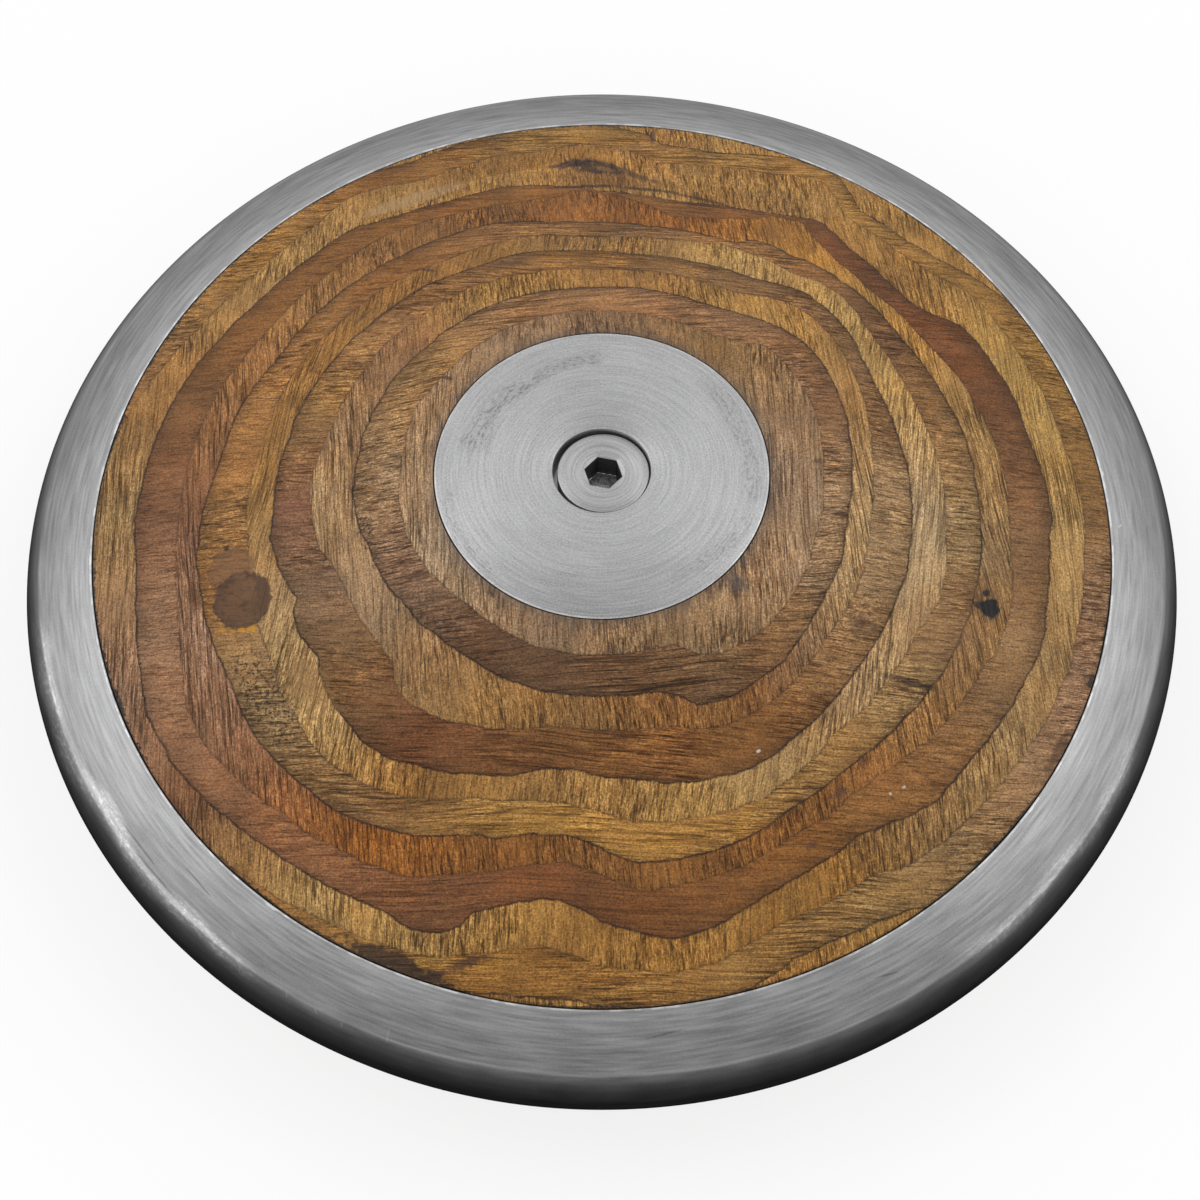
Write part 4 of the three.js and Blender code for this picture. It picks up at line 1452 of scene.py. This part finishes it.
@dataclass
class WoodenSide:
    """One laminated side, with its seat, chamber, bore, rebate and blind dowel holes."""

    plate_radius: float = 25.2
    plate_height: float = 19.25
    cone_fall: float = 0.21840796
    bore_radius: float = 5.65
    rebate_radius: float = 74.55
    rebate_height: float = 1.0
    wood_radius: float = 78.7
    seat_radius: float = 25.35
    seat_height: float = 16.75
    chamber_radius: float = 12.3
    chamber_floor: float = 10.35
    edge_break: float = 0.14
    dowel_radius: float = 3.1
    dowel_depth: float = 6.3
    dowel_circle: float = 60.0
    dowel_count: int = 8
    dowel_steps: int = 24
    face_foot: float = 5.0  # the whole coned face lies over this height
    face_cuts: int = 106
    knot_sink: float = 0.15  # how deep a dent of 1 goes
    steps: int = 360

    def build(
        self,
        place: Place,
        material: bpy.types.Material,
        lower: bool = False,
        figure_turn: float = 0.0,
        knots: tuple[Mark, ...] = (),
    ) -> bpy.types.Object:
        """Builds a side.

        Args:
            place: the piece's name, node and slot.
            material: its finish.
            lower: whether it is the one below.
            figure_turn: how far its bands are turned, in degrees; a turned side is also mirrored.
            knots: marks that dent its face.

        Returns:
            The piece.
        """
        mesh = outline(self._corners())
        high = [edge for edge in mesh.edges if edge.verts[0].co.z > self.face_foot]
        face = max(high, key=lambda edge: edge.calc_length())
        bmesh.ops.subdivide_edges(mesh, edges=[face], cuts=self.face_cuts)
        turn(mesh, self.steps)
        self._drill(mesh)
        self._sink_knots(mesh, knots)
        if lower:
            flip_over(mesh)
        piece = hand_over(mesh, place, material)
        self._record_plies(piece.data, figure_turn)
        return piece

    def cone_height(self, radius: float) -> float:
        """Gives the height of the coned face at a radius."""
        return self.plate_height - self.cone_fall * (radius - self.plate_radius)

    def _corners(self) -> tuple[Corner, ...]:
        """Lists the corners of the side's section.

        Returns:
            The corners, from the bore outwards.
        """
        return (
            Corner(self.bore_radius, 0.0),
            Corner(self.rebate_radius, 0.0),
            Corner(self.rebate_radius, self.rebate_height),
            Corner(self.wood_radius, self.rebate_height),
            Corner(self.wood_radius, self.cone_height(self.wood_radius), self.edge_break),
            Corner(self.seat_radius, self.cone_height(self.seat_radius), self.edge_break),
            Corner(self.seat_radius, self.seat_height),
            Corner(self.chamber_radius, self.seat_height),
            Corner(self.chamber_radius, self.chamber_floor),
            Corner(self.bore_radius, self.chamber_floor),
        )

    def _drill(self, mesh: bmesh.types.BMesh) -> None:
        """Opens the flat underside and fills it again round the blind holes for the dowels.

        Args:
            mesh: the upright side.
        """
        under = [face for face in mesh.faces if face.calc_center_median().z < WELD]
        bmesh.ops.delete(mesh, geom=under, context="FACES_ONLY")
        borders = [edge for edge in mesh.edges if edge.is_boundary]
        for index in range(self.dowel_count):
            angle = FULL_TURN * (index + 0.5) / self.dowel_count
            middle = Matrix.Rotation(angle, 4, "Z") @ Matrix.Translation((self.dowel_circle, 0, 0))
            ring = bmesh.ops.create_circle(
                mesh, segments=self.dowel_steps, radius=self.dowel_radius, matrix=middle
            )["verts"]
            mouth = edges_at(ring)
            borders += mouth
            wall = bmesh.ops.extrude_edge_only(mesh, edges=mouth)["geom"]
            bmesh.ops.translate(mesh, vec=(0.0, 0.0, self.dowel_depth), verts=points_of(wall))
            bmesh.ops.edgeloop_fill(mesh, edges=edges_of(wall))
        bmesh.ops.triangle_fill(mesh, use_beauty=True, edges=borders, normal=(0.0, 0.0, -1.0))

    def _sink_knots(self, mesh: bmesh.types.BMesh, knots: tuple[Mark, ...]) -> None:
        """Sinks the face a little where a knot has shrunk.

        Args:
            mesh: the upright side.
            knots: the marks, of which only those with a dent count.
        """
        dented = [knot for knot in knots if knot.dent]
        for vertex in mesh.verts:
            if vertex.co.z < self.face_foot:
                continue
            for knot in dented:
                away = vertex.co.xy - knot.centre().xy
                away.rotate(Matrix.Rotation(-knot.heading(), 2))
                far = math.hypot(away.x / knot.half_length, away.y / knot.half_width)
                if far < 1.0:
                    vertex.co.z -= self.knot_sink * knot.dent * (1.0 - far * far)

    def _record_plies(self, data: bpy.types.Mesh, figure_turn: float) -> None:
        """Writes where each point lies in the stack of plies, and the tones there.

        Args:
            data: the side's mesh, in metres.
            figure_turn: how far its bands are turned, in degrees.
        """
        points = np.zeros(len(data.vertices) * 3)
        data.vertices.foreach_get("co", points)
        x, y, _ = points.reshape(-1, 3).T / MILLIMETRE
        angles = np.degrees(np.arctan2(y, x))
        if figure_turn:
            angles = figure_turn - angles
        PlyFigure(angles, (np.hypot(x, y) - SHARE_START) / SHARE_STEP).write(data)


@dataclass
class PlyFigure:
    """The bands that the plies make on a coned face, at a set of points."""

    angles: np.ndarray  # each point's, in degrees
    share: np.ndarray  # how far each lies from plate to rim, in hundredths
    stack_ends: tuple[float, float] = (-14.0, 118.0)  # shares where the stack starts and ends
    thinnest: float = 0.3  # hundredths: no ply is read as thinner
    lens_ply: int = 8
    plain_share: float = 0.25  # how far a ply keeps its own tone before the next one's comes in

    def __post_init__(self) -> None:
        """Reads the tables at the points."""
        self.points = np.arange(len(self.share))
        inner, outer = (np.full_like(self.share, end) for end in self.stack_ends)
        lines = [self._read(*zip(*line)) for line in GLUE_LINE_SHARES]
        stack = np.maximum.accumulate(np.array([inner, *lines, outer]), axis=0)
        self.widths = np.maximum(np.diff(stack, axis=0), self.thinnest)
        self.ply = np.clip((stack[1:-1] <= self.share).sum(axis=0), 0, len(self.widths) - 1)
        into = self.share - stack[self.ply, self.points]
        self.fraction = np.clip(into / self.widths[self.ply, self.points], 0, 0.999)

    def _read(self, places: tuple, values: tuple) -> np.ndarray:
        """Reads a table, given as its angles and its values, at each point's angle."""
        return np.interp(self.angles, places, values, period=360)

    def _tones(self, first: int) -> np.ndarray:
        """Gives the tones of every second ply, carried across the plies between.

        Args:
            first: 0 for the plies whose grain runs along Y, 1 for those along X.

        Returns:
            A linear colour with an alpha for each point.
        """
        layers = []
        for table in PLY_TONES[first::2]:
            places, tones = zip(*table)
            layers.append([self._read(places, part) for part in zip(*(t.value for t in tones))])
        layers = np.array(layers)
        depth = np.clip((self.ply + self.fraction - 0.5 - first) / 2, 0, len(layers) - 1)
        below = np.minimum(depth.astype(int), len(layers) - 2)
        mix = (depth - below - self.plain_share) / (1 - 2 * self.plain_share)
        mix = np.clip(mix, 0, 1)[:, None]
        colours = layers[below, :, self.points] * (1 - mix)
        colours += layers[below + 1, :, self.points] * mix
        return np.column_stack([colours, np.ones(len(depth))])

    def _ply_width(self) -> np.ndarray:
        """Gives how wide the plies show, in millimetres, without a jump at the glue lines.

        Returns:
            A width for each point.
        """
        beside = self.ply + np.where(self.fraction > 0.5, 1, -1)
        beside = np.clip(beside, 0, len(self.widths) - 1)
        off = np.abs(self.fraction - 0.5)
        own, other = self.widths[self.ply, self.points], self.widths[beside, self.points]
        return (own * (1 - off) + other * off) * SHARE_STEP

    def write(self, data: bpy.types.Mesh) -> None:
        """Writes the bands to a mesh as attributes that the laminate's finish reads.

        Args:
            data: the mesh.
        """
        inside = (self._read(*zip(*LENS_SHARES)) - self.share) * SHARE_STEP
        numbers = {
            "ply_depth": self.ply + self.fraction,
            "ply_width": self._ply_width(),
            "lens": np.where(self.ply == self.lens_ply, inside, -1.0),
        }
        for name, values in numbers.items():
            attribute = data.attributes.new(name, "FLOAT", "POINT")
            attribute.data.foreach_set("value", values.astype(np.float32))
        for first, name in enumerate(("tone_along_y", "tone_along_x")):
            attribute = data.attributes.new(name, "FLOAT_COLOR", "POINT")
            attribute.data.foreach_set("color", self._tones(first).astype(np.float32).ravel())


@dataclass
class RingSkin:
    """A skin that grows from a closed loop of edges, ring by ring."""

    mesh: bmesh.types.BMesh
    edges: list  # the loop that it grows on from
    radius: float  # that loop's radius
    facing: int  # 1 where heights count upwards, and -1 on a piece that faces down

    def to(self, radius: float, height: float) -> "RingSkin":
        """Grows one ring.

        Args:
            radius: its radius.
            height: its height.

        Returns:
            The skin.
        """
        grown = bmesh.ops.extrude_edge_only(self.mesh, edges=self.edges)["geom"]
        points = points_of(grown)
        self.edges = edges_of(grown)
        factor = radius / self.radius
        bmesh.ops.scale(self.mesh, vec=Vector((factor, factor, 1.0)), verts=points)
        rise = height * self.facing - points[0].co.z
        bmesh.ops.translate(self.mesh, vec=(0.0, 0.0, rise), verts=points)
        self.radius = radius
        return self

    def close(self) -> None:
        """Closes the skin with a flat face."""
        bmesh.ops.edgeloop_fill(self.mesh, edges=self.edges)

    def join(self, edges: list) -> None:
        """Joins the skin's last ring to another loop."""
        bmesh.ops.bridge_loops(self.mesh, edges=self.edges + edges)


@dataclass
class Thread:
    """A right-handed metric thread about the axis."""

    pitch: float = 1.25
    crest_radius: float = 3.9
    depth: float = 0.75
    turn_shares: Table = (
        (0.0, 0.0), (0.125, 0.0), (0.4375, 1.0), (0.6875, 1.0), (1.0, 0.0),
    )  # along the pitch, and down from the crest
    steps: int = 24
    reach: float = 0.01  # points nearer than this meet

    def cut(
        self, mesh: bmesh.types.BMesh, bottom: float, top: float, growth: float
    ) -> tuple[list, list]:
        """Winds the thread between two heights, in an empty mesh.

        Args:
            mesh: the empty mesh.
            bottom: where it starts.
            top: where it ends.
            growth: how much further out it lies, as clearance.

        Returns:
            The edges of its open lower end and of its open upper end.
        """
        first = math.floor(bottom / self.pitch) - 1
        turns = math.ceil(top / self.pitch) + 1 - first
        outermost = self.crest_radius + growth
        turn_places = tuple(
            (outermost - down * self.depth, self.pitch * (first + along))
            for along, down in self.turn_shares
        )
        draw_chain(mesh, turn_places)
        bmesh.ops.spin(
            mesh,
            geom=mesh.verts[:] + mesh.edges[:],
            cent=CENTRE,
            axis=AXIS,
            dvec=(0.0, 0.0, self.pitch / self.steps),
            angle=FULL_TURN * turns,
            steps=self.steps * turns,
        )
        bmesh.ops.remove_doubles(mesh, verts=mesh.verts, dist=self.reach)
        for height, side in ((bottom, {"clear_inner": True}), (top, {"clear_outer": True})):
            geometry = mesh.verts[:] + mesh.edges[:] + mesh.faces[:]
            plane = (0.0, 0.0, height)
            bmesh.ops.bisect_plane(mesh, geom=geometry, plane_co=plane, plane_no=AXIS, **side)
        rims = [edge for edge in mesh.edges if edge.is_boundary]
        lower, upper = ([e for e in rims if self._lies_at(e, end)] for end in (bottom, top))
        return lower, upper

    def _lies_at(self, edge: bmesh.types.BMEdge, height: float) -> bool:
        """Tells whether both ends of an edge lie at a height."""
        return all(abs(point.co.z - height) < self.reach for point in edge.verts)


@dataclass
class SocketFastener:
    """The sunk screw or its sleeve nut: a flat turned head with a hexagon socket."""

    head_radius: float = 6.95
    head_top: float = 18.45
    head_seat: float = 14.85
    head_break: float = 0.2
    socket_radius: float = 2.8868
    socket_depth: float = 4.4
    socket_turn: float = -12.8
    socket_break: float = 0.2
    socket_break_steps: int = 2
    socket_floor_share: float = 0.9  # of the socket's radius, where the floor is joined on
    groove_radius: float = 4.5
    groove_half_width: float = 0.12
    groove_depth: float = 0.04
    land: float = 0.3  # width of the flat ring inside the groove
    shift: float = 0.25
    shank_radius: float = 4.0
    shank_end: float = 11.35
    screw_tip: float = -1.15
    barrel_radius: float = 5.25
    barrel_end: float = 12.45
    barrel_break: float = 0.4
    mouth_radius: float = 4.15
    mouth_end: float = 10.95
    bore_end: float = -3.15
    drill_radius: float = 3.1
    drill_point: float = -6.3
    drill_tip_radius: float = 0.1
    thread_clearance: float = 0.12
    side_cuts: int = 15
    sides: int = 6

    def build_screw(self, material: bpy.types.Material) -> bpy.types.Object:
        """Builds the screw, head up.

        Args:
            material: its finish.

        Returns:
            The piece.
        """
        mesh = bmesh.new()
        tip, root = Thread().cut(mesh, self.screw_tip, self.shank_end, 0.0)
        bmesh.ops.edgeloop_fill(mesh, edges=tip)
        skin = self._head(mesh, 1)
        skin.to(self.shank_radius, self.head_seat).to(self.shank_radius, self.shank_end).join(root)
        return self._place(mesh, Place("socket_screw", "centre_screw", "fastener_steel"), material)

    def build_nut(self, material: bpy.types.Material) -> bpy.types.Object:
        """Builds the sleeve nut, head down.

        Args:
            material: its finish.

        Returns:
            The piece.
        """
        mesh = bmesh.new()
        foot, mouth = Thread().cut(mesh, self.bore_end, self.mouth_end, self.thread_clearance)
        skin = self._head(mesh, -1)
        skin.to(self.barrel_radius, self.head_seat)
        skin.facing = 1
        skin.to(self.barrel_radius, self.barrel_end - self.barrel_break)
        skin.to(self.barrel_radius - self.barrel_break, self.barrel_end)
        skin.to(self.mouth_radius, self.barrel_end).to(self.mouth_radius, self.mouth_end)
        skin.join(mouth)
        drill = self._ring(mesh, self.drill_radius, self.bore_end, 1, self.side_cuts)
        bmesh.ops.bridge_loops(mesh, edges=foot + drill)
        tapered = RingSkin(mesh, drill, self.drill_radius, 1)
        tapered.to(self.drill_tip_radius, self.drill_point).close()
        place = Place("socket_sleeve_nut", "sleeve_nut", "fastener_steel")
        return self._place(mesh, place, material)

    def _ring(
        self, mesh: bmesh.types.BMesh, radius: float, height: float, facing: int, cuts: int
    ) -> list:
        """Draws a regular polygon about the axis, a corner of it at the socket's turn.

        Args:
            mesh: the mesh to draw in.
            radius: the radius of its corners.
            height: where it lies.
            facing: 1 on a piece that faces up, and -1 on one that faces down.
            cuts: how often each of the socket's sides is cut in it.

        Returns:
            Its edges.
        """
        angle = math.radians(self.socket_turn * facing) - RIGHT_ANGLE
        matrix = Matrix.Translation((0.0, 0.0, height)) @ Matrix.Rotation(angle, 4, "Z")
        sides = self.sides * (cuts + 1)
        made = bmesh.ops.create_circle(mesh, segments=sides, radius=radius, matrix=matrix)
        return edges_at(made["verts"])

    def _head(self, mesh: bmesh.types.BMesh, facing: int) -> RingSkin:
        """Builds the socket and the head down to the edge of its seat.

        Args:
            mesh: the mesh to build in.
            facing: 1 for a head that faces up, and -1 for one that faces down.

        Returns:
            The skin, ready to grow on under the head.
        """
        top = self.head_top
        hexagon = self._ring(mesh, self.socket_radius, top * facing, facing, 0)
        divided = bmesh.ops.subdivide_edges(mesh, edges=hexagon, cuts=self.side_cuts)
        hexagon = edges_of(divided["geom_inner"] + divided["geom"])
        start = self.groove_radius - self.land
        ring = self._ring(mesh, start, top * facing, facing, self.side_cuts)
        bmesh.ops.bridge_loops(mesh, edges=hexagon + ring)
        floor = top - self.socket_depth
        well = RingSkin(mesh, hexagon, self.socket_radius, facing)
        well.to(self.socket_radius, floor)
        well.to(self.socket_radius * self.socket_floor_share, floor).close()
        soften(mesh, hexagon, self.socket_break, self.socket_break_steps)
        skin = RingSkin(mesh, ring, start, facing)
        skin.to(self.groove_radius - self.groove_half_width, top)
        skin.to(self.groove_radius, top - self.groove_depth)
        skin.to(self.groove_radius + self.groove_half_width, top)
        skin.to(self.head_radius - self.head_break, top)
        part_way = self.head_break * 0.3
        skin.to(self.head_radius - part_way, top - part_way)
        skin.to(self.head_radius, top - self.head_break)
        return skin.to(self.head_radius, self.head_seat)

    def _place(
        self, mesh: bmesh.types.BMesh, place: Place, material: bpy.types.Material
    ) -> bpy.types.Object:
        """Shifts a fastener to where it stands in its clearance, and hands it over.

        Args:
            mesh: the shape, about the axis.
            place: the piece's name, node and slot.
            material: its finish.

        Returns:
            The piece.
        """
        bmesh.ops.translate(mesh, vec=(self.shift, 0.0, 0.0), verts=mesh.verts)
        return hand_over(mesh, place, material)


# ---- Studio ----------------------------------------------------------------------------------


@dataclass(frozen=True)
class SoftLamp:
    """A far, wide lamp, by where it stands in the sky and how much light it gives."""

    name: str
    heading: float  # degrees from +X towards +Y
    elevation: float
    strength: float
    spread: float  # degrees across


@dataclass
class Studio:
    """The pale floor, the soft sky and lamps, and the camera at the picture's angle."""

    floor_height: float = -19.27
    floor_radius: float = 20000.0
    floor_sides: int = 96
    floor_colour: Colour = (0.985, 0.985, 0.985)
    floor_mottle: float = 0.005  # share of its colour that comes and goes
    floor_glow: float = 0.75  # share of plain white in the floor that the eye and the steel see
    sky_peak: float = 1.35
    sky: Table = (
        (0.0, 1.0), (0.12, 0.92), (0.242, 0.88), (0.375, 0.76), (0.5, 0.8), (0.616, 0.9),
        (0.743, 1.08), (0.809, 1.25), (0.866, 1.15), (0.9135, 0.8), (0.966, 0.54), (1.0, 0.46),
    )  # brightness by the sine of the elevation
    lamps: tuple[SoftLamp, ...] = (
        SoftLamp("left_lamp", 161.0, 50.0, 0.24, 28.0),
        SoftLamp("right_lamp", 19.0, 50.0, 0.18, 28.0),
    )
    camera_place: Point = (0.0, -146.66, 253.49)
    camera_aim: Point = (-0.26, -9.13, -5.28)
    camera_roll: float = -0.08
    lens: float = 55.05
    sensor: float = 36.0
    sees_from: float = 0.01  # metres
    sees_to: float = 100.0

    def build(self) -> None:
        """Builds the floor, the sky, the lamps and the camera."""
        self._build_floor()
        self._build_sky()
        for lamp in self.lamps:
            self._build_lamp(lamp)
        self._build_camera()
        bpy.context.scene.view_settings.view_transform = "Standard"

    def _build_floor(self) -> None:
        """Lays the floor under the plate that the discus rests on."""
        mesh = bmesh.new()
        radius = self.floor_radius * MILLIMETRE
        bmesh.ops.create_circle(mesh, cap_ends=True, segments=self.floor_sides, radius=radius)
        bmesh.ops.translate(mesh, vec=(0.0, 0.0, self.floor_height * MILLIMETRE), verts=mesh.verts)
        floor = new_object("floor", new_mesh("floor", mesh, self._floor_paint()))

    def _floor_paint(self) -> bpy.types.Material:
        """Paints the floor: matt, with a share of plain white for the eye and for the steel.

        Returns:
            The material.
        """
        material, work = new_material("pale_floor")
        mottle = work.noise(3.0, 2.0, work.node("ShaderNodeTexCoord", output="Object"))
        darker = tuple(part * (1.0 - self.floor_mottle) for part in self.floor_colour)
        colour = work.blend(mottle, darker, self.floor_colour)
        inputs = {"Base Color": colour, "Roughness": 1.0, "Specular IOR Level": 0.0}
        lit = work.node("ShaderNodeBsdfPrincipled", inputs=inputs)
        white = work.node("ShaderNodeEmission", inputs={"Color": (1.0, 1.0, 1.0, 1.0)})
        rays = ("Is Camera Ray", "Is Glossy Ray", "Is Transmission Ray")
        seen = sum(work.node("ShaderNodeLightPath", output=ray) for ray in rays)
        share = work.maths("MINIMUM", seen, 1.0) * self.floor_glow
        work.finish(work.node("ShaderNodeMixShader", inputs={0: share, 1: lit, 2: white}))
        return material

    def _build_sky(self) -> None:
        """Lights the world as a soft ring of light, dimmer overhead and at the horizon."""
        world = bpy.data.worlds.new("soft_sky")
        world.use_nodes = True
        bpy.context.scene.world = world
        work = NodeWork(world.node_tree)
        up = work.part(work.node("ShaderNodeTexCoord", output="Generated"), "Z")
        stops = tuple((place, light / self.sky_peak) for place, light in self.sky)
        colour = work.node("ShaderNodeValToRGB", {"stops": stops}, {"Fac": up})
        inputs = {"Color": colour, "Strength": self.sky_peak}
        work.finish(work.node("ShaderNodeBackground", inputs=inputs), "ShaderNodeOutputWorld")

    def _build_lamp(self, lamp: SoftLamp) -> None:
        """Hangs one lamp.

        Args:
            lamp: where it stands and what it gives.
        """
        data = bpy.data.lights.new(lamp.name, "SUN")
        data.energy = lamp.strength
        data.angle = math.radians(lamp.spread)
        light = new_object(lamp.name, data)
        heading, rise = math.radians(lamp.heading), math.radians(lamp.elevation)
        flat = math.cos(rise)
        towards = Vector((flat * math.cos(heading), flat * math.sin(heading), math.sin(rise)))
        light.rotation_mode = "QUATERNION"
        light.rotation_quaternion = towards.to_track_quat("Z", "Y")
        light.location = towards

    def _build_camera(self) -> None:
        """Sets the camera up as the picture was taken."""
        data = bpy.data.cameras.new("camera")
        data.lens = self.lens
        data.sensor_width = self.sensor
        data.sensor_fit = "HORIZONTAL"
        data.clip_start = self.sees_from
        data.clip_end = self.sees_to
        camera = new_object("camera", data)
        place = Vector(self.camera_place) * MILLIMETRE
        view = Vector(self.camera_aim) * MILLIMETRE - place
        turned = view.to_track_quat("-Z", "Y").to_matrix()
        turned = turned @ Matrix.Rotation(math.radians(self.camera_roll), 3, "Z")
        camera.matrix_world = Matrix.Translation(place) @ turned.to_4x4()
        bpy.context.scene.camera = camera


# ---- The discus ------------------------------------------------------------------------------


@dataclass
class HiddenPieces:
    """The CAD pieces that stay as they are, inside the discus: trim washers and dowels."""

    steel: bpy.types.Material
    beech: bpy.types.Material

    def dress(self) -> None:
        """Gives each its finish."""
        for name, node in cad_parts.items():
            for word, material in (("washer", self.steel), ("dowel", self.beech)):
                if word in name:
                    for slot in node.material_slots:
                        slot.material = material
                    LOG.info("%s keeps its CAD shape", name)


RIM_STEEL = TurnedSteel(
    name="turned_rim_steel",
    light=0.36,
    dark=0.26,
    light_radius=79.0,
    dark_radius=86.5,
    # Painted shade: the rounded edge darkens towards the equator.
    edge_shade=((0.0, 0.03), (1.7, 0.04), (2.8, 0.07), (3.8, 0.11), (4.7, 0.22), (5.45, 0.52),
          (5.64, 0.95), (8.0, 1.0)),
    ring_width=0.34,
    ring_contrast=1.3,
    scuffs_and_sheens=(
        # Painted highlights: bright, nicked bands just inside the crease.
        Scuff(-145.0, 25.0, 85.8, 89.4, -1.7, 0.5),
        Scuff(-40.0, 16.0, 85.4, 88.7, -1.0, 0.5),
    ),
    # A bright lip by the wood: worn, with a painted highlight.
    lip=(78.8, 79.25),
    marks=NICKS_AND_GLINTS,
)
PLATE_STEEL = TurnedSteel(
    name="faced_plate_steel",
    grain=0.7,
    roughness=0.34,
    scuffs_and_sheens=(
        Scuff(150.0, 24.0, 17.0, 22.8, 0.36),
        Scuff(112.0, 26.0, 18.0, 22.0, 0.3),
        Scuff(15.0, 34.0, 20.0, 24.8, 0.24),
        Scuff(-40.0, 26.0, 20.0, 24.4, 0.2),
        Scuff(-150.0, 26.0, 21.5, 24.8, 0.16),
    ),
    # A faint bright lip at the plate's edge: worn, with a painted highlight.
    lip=(24.85, 25.3),
    lip_highlight_gain=0.35,
)
FASTENER_STEEL = TurnedSteel(
    name="turned_fastener_steel",
    light=0.43,
    dark=0.43,
    ring_width=0.26,
    ring_contrast=1.1,
    roughness=0.38,
    centre=0.25,
    # The socket gets painted shade on its walls and painted light on its floor.
    socket=(3.12, 18.44, 14.05),
    grain=0.5,
)


LOWER_FIGURE_TURN = 137.0  # degrees, so that the two faces aren't copies of each other


def main() -> None:
    """Builds the studio and every piece of the discus."""
    logging.basicConfig(level=logging.INFO, format="%(name)s: %(message)s")
    Studio().build()
    Rim().build(RIM_STEEL.material())
    laminate = OiledLaminate("oiled_laminate", marks=KNOTS, pitted=PITTED).material()
    plain = OiledLaminate("oiled_laminate_below").material()
    upper = Place("laminated_upper_side", "upper_side", "laminated_wood")
    lower = Place("laminated_lower_side", "lower_side", "laminated_wood")
    WoodenSide().build(upper, laminate, knots=KNOTS)
    WoodenSide().build(lower, plain, lower=True, figure_turn=LOWER_FIGURE_TURN)
    plate = PLATE_STEEL.material()
    CentrePlate().build(Place("faced_upper_plate", "upper_plate", "plate_steel"), plate)
    CentrePlate().build(Place("faced_lower_plate", "lower_plate", "plate_steel"), plate, lower=True)
    fastener = FASTENER_STEEL.material()
    SocketFastener().build_screw(fastener)
    SocketFastener().build_nut(fastener)
    washers = RolledSteel("rolled_washer_steel").material()
    HiddenPieces(washers, PlainBeech("plain_beech").material()).dress()


if __name__ == "__main__":
    main()
